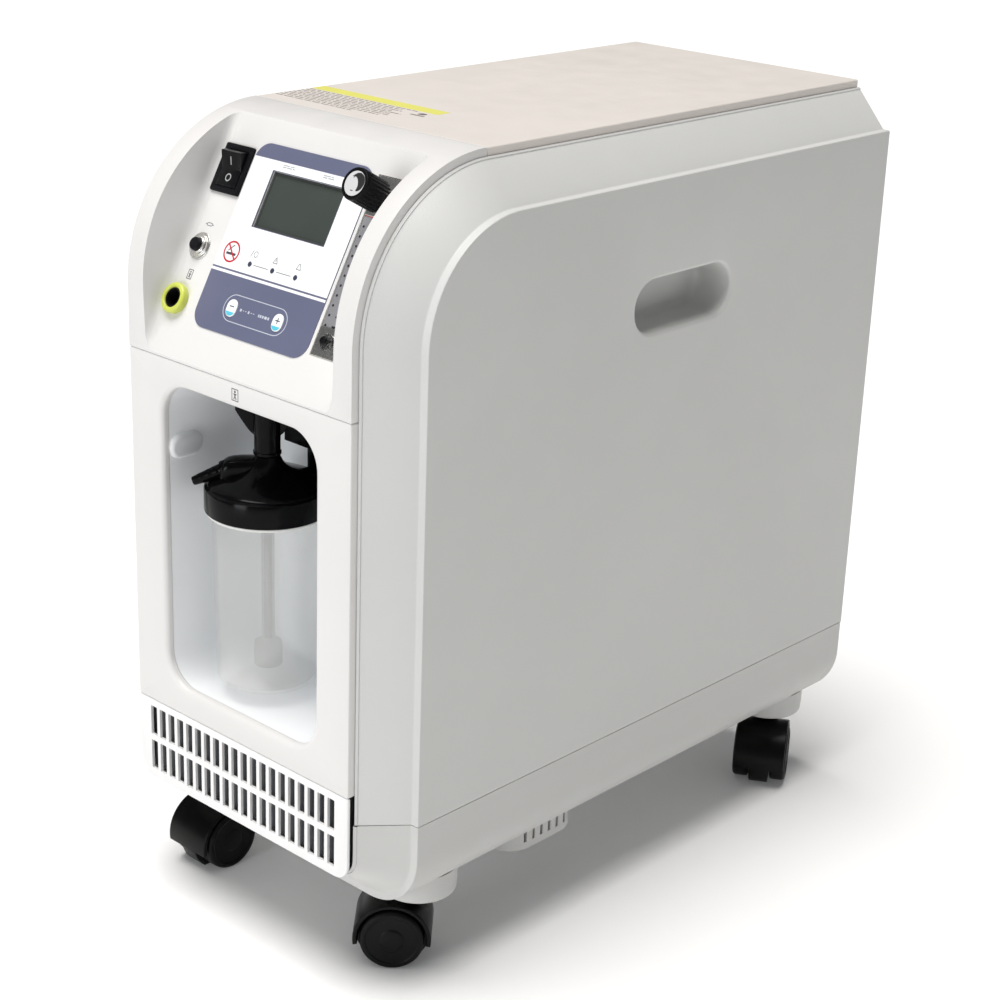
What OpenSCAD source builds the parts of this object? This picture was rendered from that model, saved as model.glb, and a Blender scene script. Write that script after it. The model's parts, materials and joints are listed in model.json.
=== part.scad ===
// Five-litre oxygen concentrator on four castors, about 630 mm tall.
// +X is the user's right, the control panel faces -Y, +Z is up and the floor is z = 0.

/* [Cabinet] */
// Overall width of the cabinet
body_w = 310; // [300:1:330]
// Overall depth of the cabinet
body_d = 574; // [560:1:600]
// Overall height above the floor
body_h = 629; // [620:1:650]
// Inset of the front shell and lid from each side of the cabinet
shell_inset = 35; // [32:1:38]
// Radius of the curve between the front and the top
front_r = 125; // [120:1:130]
// Radius of the rounded edge along the bottom of the tray
tray_r = 50; // [45:1:52]
// Thickness of the moulded shells
wall = 3; // [2.5:0.1:3.5]
// Width of the flat rim around the side covers
rim_w = 6.5; // [5:0.5:8]
// Height by which the front shell and lid stand proud of the sloped band
step_h = 6; // [5:0.5:7]

/* [Heights] */
// Underside of the tray
tray_z = 70; // [68:1:74]
// Seam between the tray and the side covers
seam_z = 148; // [145:1:152]
// Lower edge of the intake grille
grille_z = 102; // [100:1:104]
// Seam between the intake grille and the lower front panel
lower_seam_z = 171; // [169:1:173]
// Seam between the lower front panel and the control fascia
mid_seam_z = 457; // [455:0.5:458]

/* [Control panel] */
// Angle of the panel from the horizontal
panel_tilt = 61; // [60:0.5:62]
// Width of the recess that holds the panel
recess_w = 202; // [200:1:204]
// Width of the keypad overlay
overlay_w = 122; // [118:1:122]
// Height of the keypad overlay along the slope
overlay_h = 143; // [140:1:144]
// Radius of the two round keys
key_r = 7; // [6:0.5:7.5]
// Radius of the flow knob
knob_r = 12; // [10:0.5:13]

/* [Humidifier niche] */
// Width of the niche
niche_w = 168; // [166:1:172]
// Height of the niche
niche_h = 245; // [243:1:247]
// Depth of the niche from the front face
niche_d = 112; // [110:1:116]
// Corner radius of the niche
niche_r = 27; // [20:1:30]

/* [Humidifier] */
// Radius of the bottle
bottle_r = 41.5; // [40:0.5:42]
// Radius of the lid
lid_r = 47.5; // [47:0.5:48]
// Wall of the bottle
bottle_wall = 2; // [1.5:0.25:2.5]

/* [Castors] */
// Radius of the wheels
wheel_r = 25; // [24:0.5:25]
// Distance from the swivel axis to the axle
castor_trail = 18; // [16:1:20]
// Radius of the moulded boss above each castor
boss_r = 31; // [28:1:32]

/* [Hidden] */
$fn = 64;

// Cabinet places
front_y = -body_d / 2;
rear_y = body_d / 2;
half_w = body_w / 2;
core_hw = half_w - shell_inset;
curve_y = front_y + front_r;
curve_z = body_h - front_r;
rim_r = front_r - 37;
rim_y = curve_y - rim_r;
rim_z = curve_z + rim_r;
band_r = front_r - step_h;
tray_cx = half_w - tray_r;
tray_cz = tray_z + tray_r;
bevel_front_y = front_y + step_h - 1;
rim_inner_x = half_w - rim_w;
e = 0.01;

// Panel items, as [x, distance up the slope] from the foot of the panel
panel_y0 = front_y;
panel_z0 = mid_seam_z + 2;
overlay_at = [-4.2, 99.5];
overlay_r = 13;
overlay_t = 0.8;
lcd_at = [-3, 130.3];
lcd_w = 76;
lcd_h = 43;
rocker_at = [-82, 145.3];
rocker_w = 31;
rocker_h = 37.5;
breaker_at = [-86, 84.5];
outlet_at = [-88, 42];
minus_at = [-29, 48];
plus_at = [20.2, 48];
led_x = [-28.5, -4.3, 20];
led_s = 82;
window_x = [59.5, 99];
window_s = [34, 168];
knob_at = [80, 150];
tube_x = 80;
panel_t = 3;

// Humidifier places
bottle_x = -23;
bottle_y = front_y + 50;
bottle_z = 204.5;
lid_z = 343;
skirt_h = 19;
niche_z = 193;
niche_cz = niche_z + niche_h / 2;
nut_z = 386;
nut_top_z = 424;

// Castor places and the directions in which they trail
castor_x = 110;
castor_front_y = front_y + 84;
castor_rear_y = front_y + 534;
boss_z = 62;
boss_top_z = 98;
stem_r = 5.5;
axle_r = 3;
fork_r = 30.5;
fork_w = 46;
web_w = 18;
run_gap = 0.05;
collar_z = 2 * wheel_r + 1.6;

// Inside places
deck_z = boss_top_z;
deck_t = 2;
bulkhead_y = -55;
shelf_z = 400;
comp_y = 150;
comp_z = 122;
shaft_z = 178;
fan_y = 130;
bed_x = 62;
bed_y = -115;
bed_r = 42;
bed_top_z = 430;

// Moves children onto the panel: local +Y runs up the slope, local +Z points at the user.
module on_panel(at = [0, 0], height = 0) {
    translate([0, panel_y0, panel_z0])
        rotate([panel_tilt, 0, 0])
            translate([at[0], at[1], height])
                children();
}

// Flat rectangle with round corners, centred
module rounded_rect(w, h, r) {
    square([w - 2 * r, h], center = true);
    square([w, h - 2 * r], center = true);
    for (sx = [-1, 1], sy = [-1, 1])
        translate([sx * (w / 2 - r), sy * (h / 2 - r)])
            circle(r);
}

// Plate with round corners, centred in x and y, from z0 upwards
module rounded_plate(w, h, r, t, z0 = 0) {
    translate([0, 0, z0])
        linear_extrude(t)
            rounded_rect(w, h, r);
}

// Turns a 2-D shape drawn in (y, z) into a slab between x0 and x1
module along_x(x0, x1) {
    translate([x0, 0, 0])
        rotate([90, 0, 90])
            linear_extrude(x1 - x0)
                children();
}

// Turns a 2-D shape drawn in (x, z) into a slab between y0 and y1
module along_y(y0, y1) {
    translate([0, y1, 0])
        rotate([90, 0, 0])
            linear_extrude(y1 - y0)
                children();
}

// Side outline in (y, z): straight front, round shoulder, flat top
module side_outline(r, bottom, rear) {
    translate([curve_y, curve_z])
        circle(r, $fn = 128);
    translate([curve_y - r, bottom])
        square([rear - curve_y + r, curve_z - bottom]);
    translate([curve_y, bottom])
        square([rear - curve_y, curve_z + r - bottom]);
}

// ---------- tray ----------

// Section of the tray in (x, z), inset all round by d
module tray_section(d, top) {
    intersection() {
        for (s = [-1, 1])
            translate([s * tray_cx, tray_cz])
                circle(tray_r - d, $fn = 128);
        translate([-half_w, tray_z])
            square([body_w, top - tray_z]);
    }
    translate([-tray_cx, tray_z + d])
        square([2 * tray_cx, top - tray_z - d]);
    translate([-half_w + d, tray_cz])
        square([body_w - 2 * d, top - tray_cz]);
}

// Sloped band in front of the tray, from inset d0 at the rim to inset d1 at the grille
module tray_nose(d0, d1, y0, y1, top) {
    intersection() {
        for (s = [-1, 1])
            translate([s * tray_cx, y0, tray_cz])
                rotate([90, 0, 0])
                    cylinder(h = y0 - y1, r1 = tray_r - d0, r2 = tray_r - d1, $fn = 128);
        translate([-half_w, y1, tray_z])
            cube([body_w, y0 - y1, top - tray_z]);
    }
    along_x(-tray_cx, tray_cx)
        polygon([[y0, tray_z + d0], [y1, tray_z + d1], [y1, top], [y0, top]]);
    translate([0, 0, tray_cz])
        linear_extrude(top - tray_cz)
            polygon([
                [-half_w + d0, y0], [half_w - d0, y0], [half_w - d1, y1], [-half_w + d1, y1]
            ]);
}

// Places children at each castor
module at_castors() {
    for (sx = [-1, 1], y = [castor_front_y, castor_rear_y])
        translate([sx * castor_x, y, 0])
            children();
}

vent_x = [62, 125];
vent_y = [-116, -30];
vent_z = 56;

module base_tray() {
    color("gainsboro")
    difference() {
        union() {
            difference() {
                union() {
                    along_y(rim_y, rear_y)
                        tray_section(0, seam_z);
                    tray_nose(rim_w, shell_inset, rim_y, bevel_front_y, seam_z);
                }
                along_y(rim_y + wall, rear_y - 10)
                    tray_section(wall, seam_z + 1);
                translate([0, e, 0])
                    tray_nose(rim_w + wall, shell_inset + wall, rim_y + wall, bevel_front_y - 1, seam_z + 1);
            }
            at_castors()
                translate([0, 0, boss_z])
                    cylinder(h = boss_top_z - boss_z, r = boss_r);
        }
        at_castors()
            translate([0, 0, boss_z - 1])
                cylinder(h = 34, r = stem_r + run_gap);
        translate([78, vent_y[0] + 22, tray_z - 1])
            cube([24, vent_y[1] - vent_y[0] - 44, 5]);
    }
}

// ---------- side covers ----------

// Lip of a side cover in (distance from the mid plane, radius from the curve's centre)
module lip_section() {
    polygon([
        [core_hw + 0.5, band_r], [rim_inner_x, rim_r], [half_w, rim_r],
        [half_w, rim_r - wall], [rim_inner_x - 1.5, rim_r - wall], [core_hw + 0.5, band_r - 4.5]
    ]);
}

// The lip swept up the front, round the shoulder and along the top
module side_lip() {
    translate([0, curve_y, curve_z])
        rotate([0, 90, 0])
            rotate([0, 0, 180])
                rotate_extrude(angle = 90, $fn = 128)
                    rotate(90)
                        mirror([0, 1])
                            lip_section();
    translate([0, curve_y, seam_z])
        linear_extrude(curve_z - seam_z)
            mirror([0, 1])
                lip_section();
    translate([0, rear_y, curve_z])
        rotate([90, 0, 0])
            linear_extrude(rear_y - curve_y)
                lip_section();
}

handle_y = 25;
handle_z = 496;
handle_w = 115;
handle_h = 42;
handle_d = 38;

// Slot with round ends for the carrying grip, drawn in (y, z)
module handle_slot(grow) {
    translate([handle_y, handle_z])
        rounded_rect(handle_w + 2 * grow, handle_h + 2 * grow, handle_h / 2 + grow - 0.01);
}

module side_cover() {
    difference() {
        union() {
            along_x(half_w - wall, half_w)
                side_outline(rim_r, seam_z, rear_y);
            side_lip();
            along_x(half_w - handle_d, half_w - e)
                handle_slot(wall);
        }
        along_x(half_w - handle_d + wall, half_w + 1)
            handle_slot(0);
    }
}

module side_cover_right() {
    color("whitesmoke")
        side_cover();
}

module side_cover_left() {
    color("whitesmoke")
        mirror([1, 0, 0])
            side_cover();
}

// ---------- lid, front shells and rear ----------

module top_cover() {
    color("linen")
    difference() {
        translate([-core_hw, curve_y + 0.3, body_h - step_h - 1])
            cube([2 * core_hw, rear_y - curve_y - 0.3, step_h + 1]);
        translate([-core_hw + wall, curve_y + 0.3 + wall, body_h - step_h - 2])
            cube([2 * (core_hw - wall), rear_y - curve_y - 2 * wall - 0.3, step_h + 2 - wall]);
    }
}

// Space in front of the panel surface, moved back by t
module before_panel(hw, t) {
    translate([0, panel_y0, panel_z0])
        rotate([panel_tilt, 0, 0])
            translate([-hw, -20 - t, -t])
                cube([2 * hw, 230, 80]);
}

module fascia_solid(r, hw, bottom) {
    along_x(-hw, hw)
        intersection() {
            side_outline(r, bottom, rear_y);
            translate([front_y - 1, bottom])
                square([front_r + 1, body_h - bottom + 1]);
        }
}

module panel_cutouts() {
    on_panel(rocker_at, -panel_t - 1)
        translate([-13.5, -16.5, 0])
            cube([27, 33, panel_t + 2]);
    on_panel(breaker_at, -panel_t - 1)
        cylinder(h = panel_t + 2, r = 6.05);
    on_panel(outlet_at, -panel_t - 1)
        cylinder(h = panel_t + 2, r = 9.05);
    on_panel(minus_at, -panel_t - 1)
        cylinder(h = panel_t + 2, r = 3);
    on_panel(plus_at, -panel_t - 1)
        cylinder(h = panel_t + 2, r = 3);
    on_panel(lcd_at, -panel_t - 1)
        translate([-lcd_w / 2 - 2, -lcd_h / 2 - 2, 0])
            cube([lcd_w + 4, lcd_h + 4, panel_t + 2]);
    for (x = led_x)
        on_panel([x, led_s], -panel_t - 1)
            cylinder(h = panel_t + 2, r = 2.6);
    on_panel([0, 0], -panel_t - 1)
        translate([window_x[0], window_s[0], 0])
            cube([window_x[1] - window_x[0], window_s[1] - window_s[0], panel_t + 2]);
}

module control_fascia() {
    color("white")
    difference() {
        union() {
            difference() {
                fascia_solid(front_r, core_hw, mid_seam_z + 0.3);
                translate([0, 0, -2])
                    fascia_solid(front_r - wall, core_hw - wall, mid_seam_z);
                translate([-core_hw - 1, rim_y + e, mid_seam_z - 1])
                    cube([2 * core_hw + 2, 200, curve_z - mid_seam_z - 6]);
            }
            intersection() {
                fascia_solid(front_r, recess_w / 2 + wall, mid_seam_z + 0.3);
                before_panel(recess_w / 2 + wall, panel_t);
            }
        }
        before_panel(recess_w / 2, 0);
        panel_cutouts();
    }
}

// Opening of the niche in (x, z), grown by d
module niche_outline(d) {
    translate([0, niche_cz])
        rounded_rect(niche_w + 2 * d, niche_h + 2 * d, niche_r + d);
}

module lower_front_panel() {
    color("white")
    difference() {
        translate([-core_hw, front_y, lower_seam_z + 0.3])
            cube([2 * core_hw, 12, mid_seam_z - lower_seam_z - 0.3]);
        translate([-core_hw + wall, front_y + wall, lower_seam_z + wall + 0.3])
            cube([2 * (core_hw - wall), 12, mid_seam_z - lower_seam_z - 2 * wall - 0.3]);
        along_y(front_y - 1, front_y + wall + 1)
            niche_outline(0);
    }
}

module humidifier_niche() {
    color("ghostwhite") {
        difference() {
            union() {
                along_y(front_y + wall, front_y + niche_d + 2.5)
                    niche_outline(2.5);
                along_y(front_y + wall, front_y + wall + 2)
                    niche_outline(8);
            }
            along_y(front_y, front_y + niche_d)
                niche_outline(0);
        }
        // Plugged cable eye on the left wall
        along_x(-niche_w / 2 - 1, -niche_w / 2 + 4)
            translate([front_y + 22, 384])
                rounded_rect(32, 19, 9.4);
    }
}

slot_count = 20;
slot_pitch = 10.77;
slot_w = 6;
slot_h = 25;

module intake_grille() {
    color("white")
    difference() {
        along_y(front_y, front_y + 5)
            difference() {
                translate([0, (grille_z + lower_seam_z) / 2])
                    rounded_rect(2 * core_hw, lower_seam_z - grille_z, 14);
                translate([-core_hw - 1, lower_seam_z - 14.5])
                    square([0.5, 0.5]);
            }
        for (i = [0 : slot_count - 1], z = [110, 140])
            translate([(i - (slot_count - 1) / 2) * slot_pitch - slot_w / 2, front_y - 1, z])
                cube([slot_w, 8, slot_h]);
    }
    color("white")
        for (sx = [-1, 1])
            translate([sx * (core_hw - 7) - 7, front_y, lower_seam_z - 14.5])
                cube([14, 5, 14.5]);
}

module intake_filter() {
    color("slategray")
        translate([-core_hw + 9, front_y + 7, grille_z + 6])
            cube([2 * core_hw - 18, 8, lower_seam_z - grille_z - 11]);
}

rear_screw_x = [-135, 0, 135];
rear_screw_z = [165, 575];
inlet_at = [-92, 205];
filter_at = [60, 420];

module rear_panel() {
    color("whitesmoke")
    difference() {
        along_y(rear_y - 7, rear_y - 4)
            polygon([
                [-half_w + 3.5, seam_z + 1], [half_w - 3.5, seam_z + 1],
                [half_w - 3.5, rim_z - 5], [rim_inner_x - 4, rim_z - 5],
                [core_hw - 1, body_h - step_h - 6], [-core_hw + 1, body_h - step_h - 6],
                [-rim_inner_x + 4, rim_z - 5], [-half_w + 3.5, rim_z - 5]
            ]);
        translate([inlet_at[0] - 14, rear_y - 10, inlet_at[1] - 10])
            cube([28, 10, 20]);
        translate([filter_at[0] - 45, rear_y - 10, filter_at[1] - 45])
            cube([90, 10, 90]);
        for (x = rear_screw_x, z = rear_screw_z)
            translate([x, rear_y, z])
                rotate([90, 0, 0])
                    cylinder(h = 12, r = 1.7);
        for (i = [0 : 11])
            translate([-112 + 10 * i, rear_y - 10, 275])
                cube([5, 10, 60]);
    }
}

module power_inlet() {
    color("dimgray") {
        difference() {
            union() {
                translate([inlet_at[0] - 24, rear_y - 4, inlet_at[1] - 14])
                    cube([48, 3, 28]);
                translate([inlet_at[0] - 13.8, rear_y - 26, inlet_at[1] - 9.8])
                    cube([27.6, 23, 19.6]);
            }
            translate([inlet_at[0] - 12, rear_y - 18, inlet_at[1] - 8.2])
                cube([24, 20, 16.4]);
        }
        for (x = [-7, 0, 7])
            translate([inlet_at[0] + x - 1, rear_y - 19, inlet_at[1] - 2 + (x == 0 ? 4 : 0)])
                cube([2, 13, 4]);
    }
}

module rear_filter_cover() {
    color("lightgray")
    difference() {
        translate([filter_at[0] - 50, rear_y - 4, filter_at[1] - 50])
            cube([100, 4, 100]);
        for (i = [0 : 7])
            translate([filter_at[0] - 38, rear_y - 6, filter_at[1] - 39.5 + 10.5 * i])
                cube([76, 8, 5]);
    }
}

module exhaust_vent() {
    vent_w = vent_x[1] - vent_x[0];
    vent_l = vent_y[1] - vent_y[0];
    color("silver")
    difference() {
        translate([vent_x[0] + vent_w / 2, vent_y[0] + vent_l / 2, 0])
            difference() {
                rounded_plate(vent_w, vent_l, 24, 50, vent_z);
                rounded_plate(vent_w - 5, vent_l - 5, 21.5, 60, vent_z + 2.5);
            }
        along_y(rim_y, rear_y)
            tray_section(0, seam_z);
        for (i = [0 : 5])
            translate([vent_x[1] - 6, vent_y[0] + 18.5 + 9.3 * i, vent_z + 6])
                cube([10, 3, 9]);
    }
}

// ---------- controls ----------

module membrane_overlay() {
    color("slategray")
    on_panel(overlay_at)
        difference() {
            rounded_plate(overlay_w, overlay_h, overlay_r, overlay_t);
            translate([lcd_at[0] - overlay_at[0] - lcd_w / 2, lcd_at[1] - overlay_at[1] - lcd_h / 2, -1])
                cube([lcd_w, lcd_h, 3]);
            for (k = [minus_at, plus_at])
                translate([k[0] - overlay_at[0], k[1] - overlay_at[1], -1])
                    cylinder(h = 3, r = key_r + 0.3);
            for (x = led_x)
                translate([x - overlay_at[0], led_s - overlay_at[1], -1])
                    cylinder(h = 3, r = 2.4);
        }
}

module lcd_display() {
    color("darkslategray")
    on_panel(lcd_at) {
        translate([-lcd_w / 2 - 1.5, -lcd_h / 2 - 1.5, -7])
            cube([lcd_w + 3, lcd_h + 3, 6.8]);
        translate([-lcd_w / 2 + 0.3, -lcd_h / 2 + 0.3, -1])
            cube([lcd_w - 0.6, lcd_h - 0.6, 1.3]);
    }
}

rocker_pivot = -0.2;

module rocker_bezel() {
    color("black")
    on_panel(rocker_at)
        difference() {
            union() {
                rounded_plate(rocker_w, rocker_h, 1.5, 2);
                translate([-13.4, -16.4, -22])
                    cube([26.8, 32.8, 22.5]);
                for (sx = [-1, 1])
                    translate([sx * 6.3 - 0.8, -14, -30])
                        cube([1.6, 6, 9]);
            }
            translate([-11, -14.4, -14])
                cube([22, 28.8, 20]);
            translate([-12.5, 0, rocker_pivot])
                rotate([0, 90, 0])
                    cylinder(h = 25, r = 1.55);
        }
}

paddle_r = 14.2;
paddle_tilt = 15;
paddle_slope = 16;
paddle_waist = 2.6;

// Rocker with its lower end pressed in, the off position
module rocker_paddle() {
    color("black")
    on_panel(rocker_at, rocker_pivot)
        rotate([paddle_tilt, 0, 0]) {
            rotate([90, 0, 90])
                translate([0, 0, -10.7])
                    linear_extrude(21.4)
                        intersection() {
                            circle(paddle_r, $fn = 96);
                            polygon([
                                [-paddle_r, -5], [paddle_r, -5],
                                [paddle_r, paddle_waist + paddle_r * tan(paddle_slope)],
                                [0, paddle_waist],
                                [-paddle_r, paddle_waist + paddle_r * tan(paddle_slope)]
                            ]);
                        }
            translate([-12.3, 0, 0])
                rotate([0, 90, 0])
                    cylinder(h = 24.6, r = 1.5);
        }
}

breaker_proud = 7;

module breaker_body() {
    color("silver")
    on_panel(breaker_at)
        difference() {
            union() {
                translate([0, 0, -30])
                    cylinder(h = 27, r = 8.5);
                translate([0, 0, -4])
                    cylinder(h = 5, r = 6);
                cylinder(h = 0.8, r = 10.4);
                cylinder(h = 2.6, r = 8.3);
                cylinder(h = breaker_proud - 3, r = 6.4);
            }
            translate([0, 0, -9])
                cylinder(h = 20, r = 4.95);
        }
}

module breaker_button() {
    color("black")
    on_panel(breaker_at)
        union() {
            translate([0, 0, -5])
                cylinder(h = 5 + breaker_proud - 0.6, r = 4.9);
            translate([0, 0, breaker_proud - 0.6])
                cylinder(h = 0.6, r1 = 4.9, r2 = 4.3);
        }
}

module outlet_ring() {
    color("yellowgreen")
    on_panel(outlet_at)
        rotate_extrude()
            polygon(concat(
                [[9, 0], [11.4, 0]],
                [for (a = [0 : 15 : 90]) [9.4 + 2 * cos(a), 4 + 2 * sin(a)]],
                [[7.6, 6], [7.6, 3], [9, 3]]
            ));
}

// Oxygen outlet: a plain socket, with the spigot for the inner hose behind it
module outlet_port() {
    color("black")
    on_panel(outlet_at)
        difference() {
            union() {
                translate([0, 0, -20])
                    cylinder(h = 22.9, r = 8.95);
                translate([0, 0, 2.8])
                    cylinder(h = 2.6, r = 7.5);
                translate([0, 0, -34])
                    cylinder(h = 16, r = 3.2);
            }
            translate([0, 0, -14])
                cylinder(h = 30, r = 6.3);
            translate([0, 0, -40])
                cylinder(h = 60, r = 1.6);
        }
}

key_travel = 0.5;

module panel_key(at) {
    color("ghostwhite")
    on_panel(at) {
        translate([0, 0, 0.7])
            cylinder(h = 0.9, r = key_r);
        translate([0, 0, -2.4])
            cylinder(h = 3.4, r = 2.5);
    }
}

module minus_key() {
    panel_key(minus_at);
}

module plus_key() {
    panel_key(plus_at);
}

// ---------- flowmeter ----------

flow_face = -1.2;
flow_x = [window_x[0] + 0.3 - tube_x, window_x[1] - 0.3 - tube_x];
tube_s = [56, 138];
bore_r = 4.2;
ball_r = 4;
knob_rear = 14;
knob_l = 25;

module flowmeter_body() {
    color("silver")
    on_panel([tube_x, 0])
        difference() {
            union() {
                translate([flow_x[0], window_s[0] + 0.3, -26])
                    cube([flow_x[1] - flow_x[0], tube_s[0] - window_s[0] - 0.3, 27 + flow_face]);
                translate([flow_x[0], tube_s[1], -26])
                    cube([flow_x[1] - flow_x[0], window_s[1] - tube_s[1] - 0.3, 27 + flow_face]);
                translate([flow_x[0], window_s[0] + 0.3, -29])
                    cube([flow_x[1] - flow_x[0], window_s[1] - window_s[0] - 0.6, 3]);
                translate([0, knob_at[1], flow_face])
                    cylinder(h = knob_rear - flow_face - 1, r = 6.5);
            }
            translate([0, knob_at[1], flow_face - 6])
                cylinder(h = 30, r = 3.05);
        }
}

module flow_tube() {
    color("lightcyan", 0.6)
    on_panel([tube_x, 0])
        difference() {
            translate([-9, tube_s[0], -24])
                cube([18, tube_s[1] - tube_s[0], 18]);
            translate([0, tube_s[0] - 1, -15])
                rotate([-90, 0, 0])
                    cylinder(h = tube_s[1] - tube_s[0] + 2, r = bore_r);
        }
}

module flow_scale_plate() {
    color("gray")
    on_panel([tube_x, 0])
        difference() {
            translate([flow_x[0], tube_s[0] + 0.2, flow_face - 1.5])
                cube([flow_x[1] - flow_x[0], tube_s[1] - tube_s[0] - 0.4, 1.5]);
            translate([-4.5, tube_s[0] + 4, flow_face - 3])
                cube([9, tube_s[1] - tube_s[0] - 8, 5]);
        }
}

module float_ball() {
    color("firebrick")
    on_panel([tube_x, tube_s[0] + ball_r + 0.3], -15)
        sphere(ball_r);
}

module flow_knob() {
    color("black")
    on_panel(knob_at) {
        difference() {
            union() {
                translate([0, 0, knob_rear])
                    cylinder(h = knob_l - 1.5, r = knob_r);
                translate([0, 0, knob_rear + knob_l - 1.5])
                    cylinder(h = 1.5, r1 = knob_r, r2 = knob_r - 1.5);
            }
            for (i = [0 : 23])
                rotate(i * 15)
                    translate([knob_r + 0.25, 0, knob_rear - 1])
                        cylinder(h = knob_l - 2, r = 0.7, $fn = 8);
        }
        translate([0, 0, flow_face - 5])
            cylinder(h = knob_rear - flow_face + 5.5, r = 3);
    }
}

module control_board() {
    color("seagreen")
    on_panel([-6, 78])
        translate([-50, -50, -12])
            difference() {
                union() {
                    cube([100, 124, 1.6]);
                    for (p = [[12, 20], [78, 20], [10, 48], [60, 12]])
                        translate([p[0], p[1], -4])
                            cube([14, 10, 4.5]);
                }
                for (p = [[5, 5], [95, 5], [5, 119], [95, 119]])
                    translate([p[0], p[1], -1])
                        cylinder(h = 4, r = 1.7);
            }
}

// ---------- humidifier ----------

module at_bottle() {
    translate([bottle_x, bottle_y, 0])
        children();
}

leg_x = [-33, 50];
leg_y = bottle_y + 25.5;
foot_y = bottle_y + 48.7;

module humidifier_arm() {
    color("black") {
        difference() {
            union() {
                translate([leg_x[0], bottle_y - 13, nut_top_z + 0.6])
                    cube([leg_x[1] - leg_x[0], leg_y - bottle_y + 14, 437.5 - nut_top_z - 0.6]);
                translate([leg_x[0], leg_y, 388])
                    cube([leg_x[1] - leg_x[0], front_y + niche_d - leg_y, 437.5 - 388]);
                translate([leg_x[0], foot_y, 352])
                    cube([leg_x[1] - leg_x[0], front_y + niche_d - foot_y, 437.5 - 352]);
                at_bottle()
                    translate([0, 0, 404.6])
                        cylinder(h = nut_top_z - 404, r = 6.95);
            }
            at_bottle()
                translate([0, 0, 400])
                    cylinder(h = 30, r = 2.5);
        }
    }
}

module wing_nut() {
    color("black")
    at_bottle()
        difference() {
            union() {
                translate([0, 0, nut_z])
                    cylinder(h = nut_top_z - nut_z, r = 10.5);
                rotate(42)
                    translate([0, 3, 0])
                        rotate([90, 0, 0])
                            linear_extrude(6)
                                polygon([
                                    [-9, 402], [9, 402], [23.5, 419], [23.5, 423.5],
                                    [-23.5, 423.5], [-23.5, 419]
                                ]);
            }
            translate([0, 0, 404])
                cylinder(h = 30, r = 7);
            translate([0, 0, nut_z - 1])
                cylinder(h = 30, r = 5.05);
        }
}

spout_angle = 227;

module humidifier_lid() {
    color("black")
    at_bottle()
        difference() {
            union() {
                rotate_extrude($fn = 96)
                    polygon([
                        [0, lid_z + 15.5], [42.2, lid_z + 15.5], [42.2, lid_z], [lid_r, lid_z],
                        [lid_r, lid_z + skirt_h - 1], [lid_r - 1, lid_z + skirt_h],
                        [lid_r - 3, lid_z + skirt_h + 1], [36, lid_z + 28], [24, lid_z + 35],
                        [13, lid_z + 39], [9, lid_z + 42.5], [5, lid_z + 42.5], [5, 403.8], [0, 403.8]
                    ]);
                rotate(spout_angle) {
                    translate([17, -7, lid_z + 24])
                        cube([17, 14, 15]);
                    translate([30, 0, lid_z + 32.5])
                        rotate([0, 113, 0]) {
                            cylinder(h = 28, r1 = 4.6, r2 = 3.2);
                            for (k = [8, 15, 22])
                                translate([0, 0, k])
                                    cylinder(h = 3, r1 = 4.9, r2 = 3.9);
                        }
                }
            }
            translate([0, 0, lid_z + 10])
                cylinder(h = 70, r = 2);
            rotate(spout_angle)
                translate([30, 0, lid_z + 32.5])
                    rotate([0, 113, 0])
                        translate([0, 0, 4])
                            cylinder(h = 30, r = 1.5);
        }
}

seal_h = 2.5;

module lid_seal() {
    color("white")
    at_bottle()
        translate([0, 0, lid_z - seal_h])
            difference() {
                cylinder(h = seal_h, r = lid_r - 1.3);
                translate([0, 0, -1])
                    cylinder(h = seal_h + 2, r = bottle_r + 0.3);
            }
}

module humidifier_bottle() {
    color("lightgray", 0.5)
    at_bottle()
        rotate_extrude($fn = 96)
            polygon(concat(
                [[0, bottle_z + 3], [bottle_r - 14, bottle_z + 2]],
                [[bottle_r - 9, bottle_z], [bottle_r - 5, bottle_z]],
                [[bottle_r - 2.5, bottle_z + 2.5], [bottle_r, lid_z - 8], [bottle_r, lid_z + 14.8]],
                [[bottle_r - bottle_wall, lid_z + 14.8], [bottle_r - bottle_wall, lid_z - 8]],
                [[bottle_r - bottle_wall - 2.5, bottle_z + 5], [0, bottle_z + 5]]
            ));
}

module diffuser_stem() {
    color("gainsboro")
    at_bottle()
        difference() {
            union() {
                translate([0, 0, bottle_z + 12])
                    cylinder(h = lid_z + 15.3 - bottle_z - 12, r = 5);
                translate([0, 0, bottle_z + 9])
                    cylinder(h = 20, r = 11);
            }
            translate([0, 0, bottle_z + 14])
                cylinder(h = 200, r = 3);
        }
}

// ---------- inside ----------

module chassis() {
    color("lightsteelblue")
    difference() {
        union() {
            translate([-126, -245, deck_z])
                cube([252, 516, deck_t]);
            translate([-126, bulkhead_y, deck_z])
                cube([252, 2, 462]);
            translate([-112, bulkhead_y, shelf_z])
                cube([224, 320, 2]);
            for (sx = [-1, 1])
                translate([sx * 119 - 1, 262, deck_z])
                    cube([2, 9, 420]);
            for (sx = [-1, 1])
                translate([sx * 112 - 1, 240, shelf_z])
                    cube([2, 22, 2]);
        }
        translate([0, fan_y, shelf_z - 1])
            cylinder(h = 4, r = 57);
        translate([78, vent_y[0] + 22, deck_z - 1])
            cube([24, 40, 4]);
    }
}

comp_w = 116;
comp_l = 130;
comp_h = 104;

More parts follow.
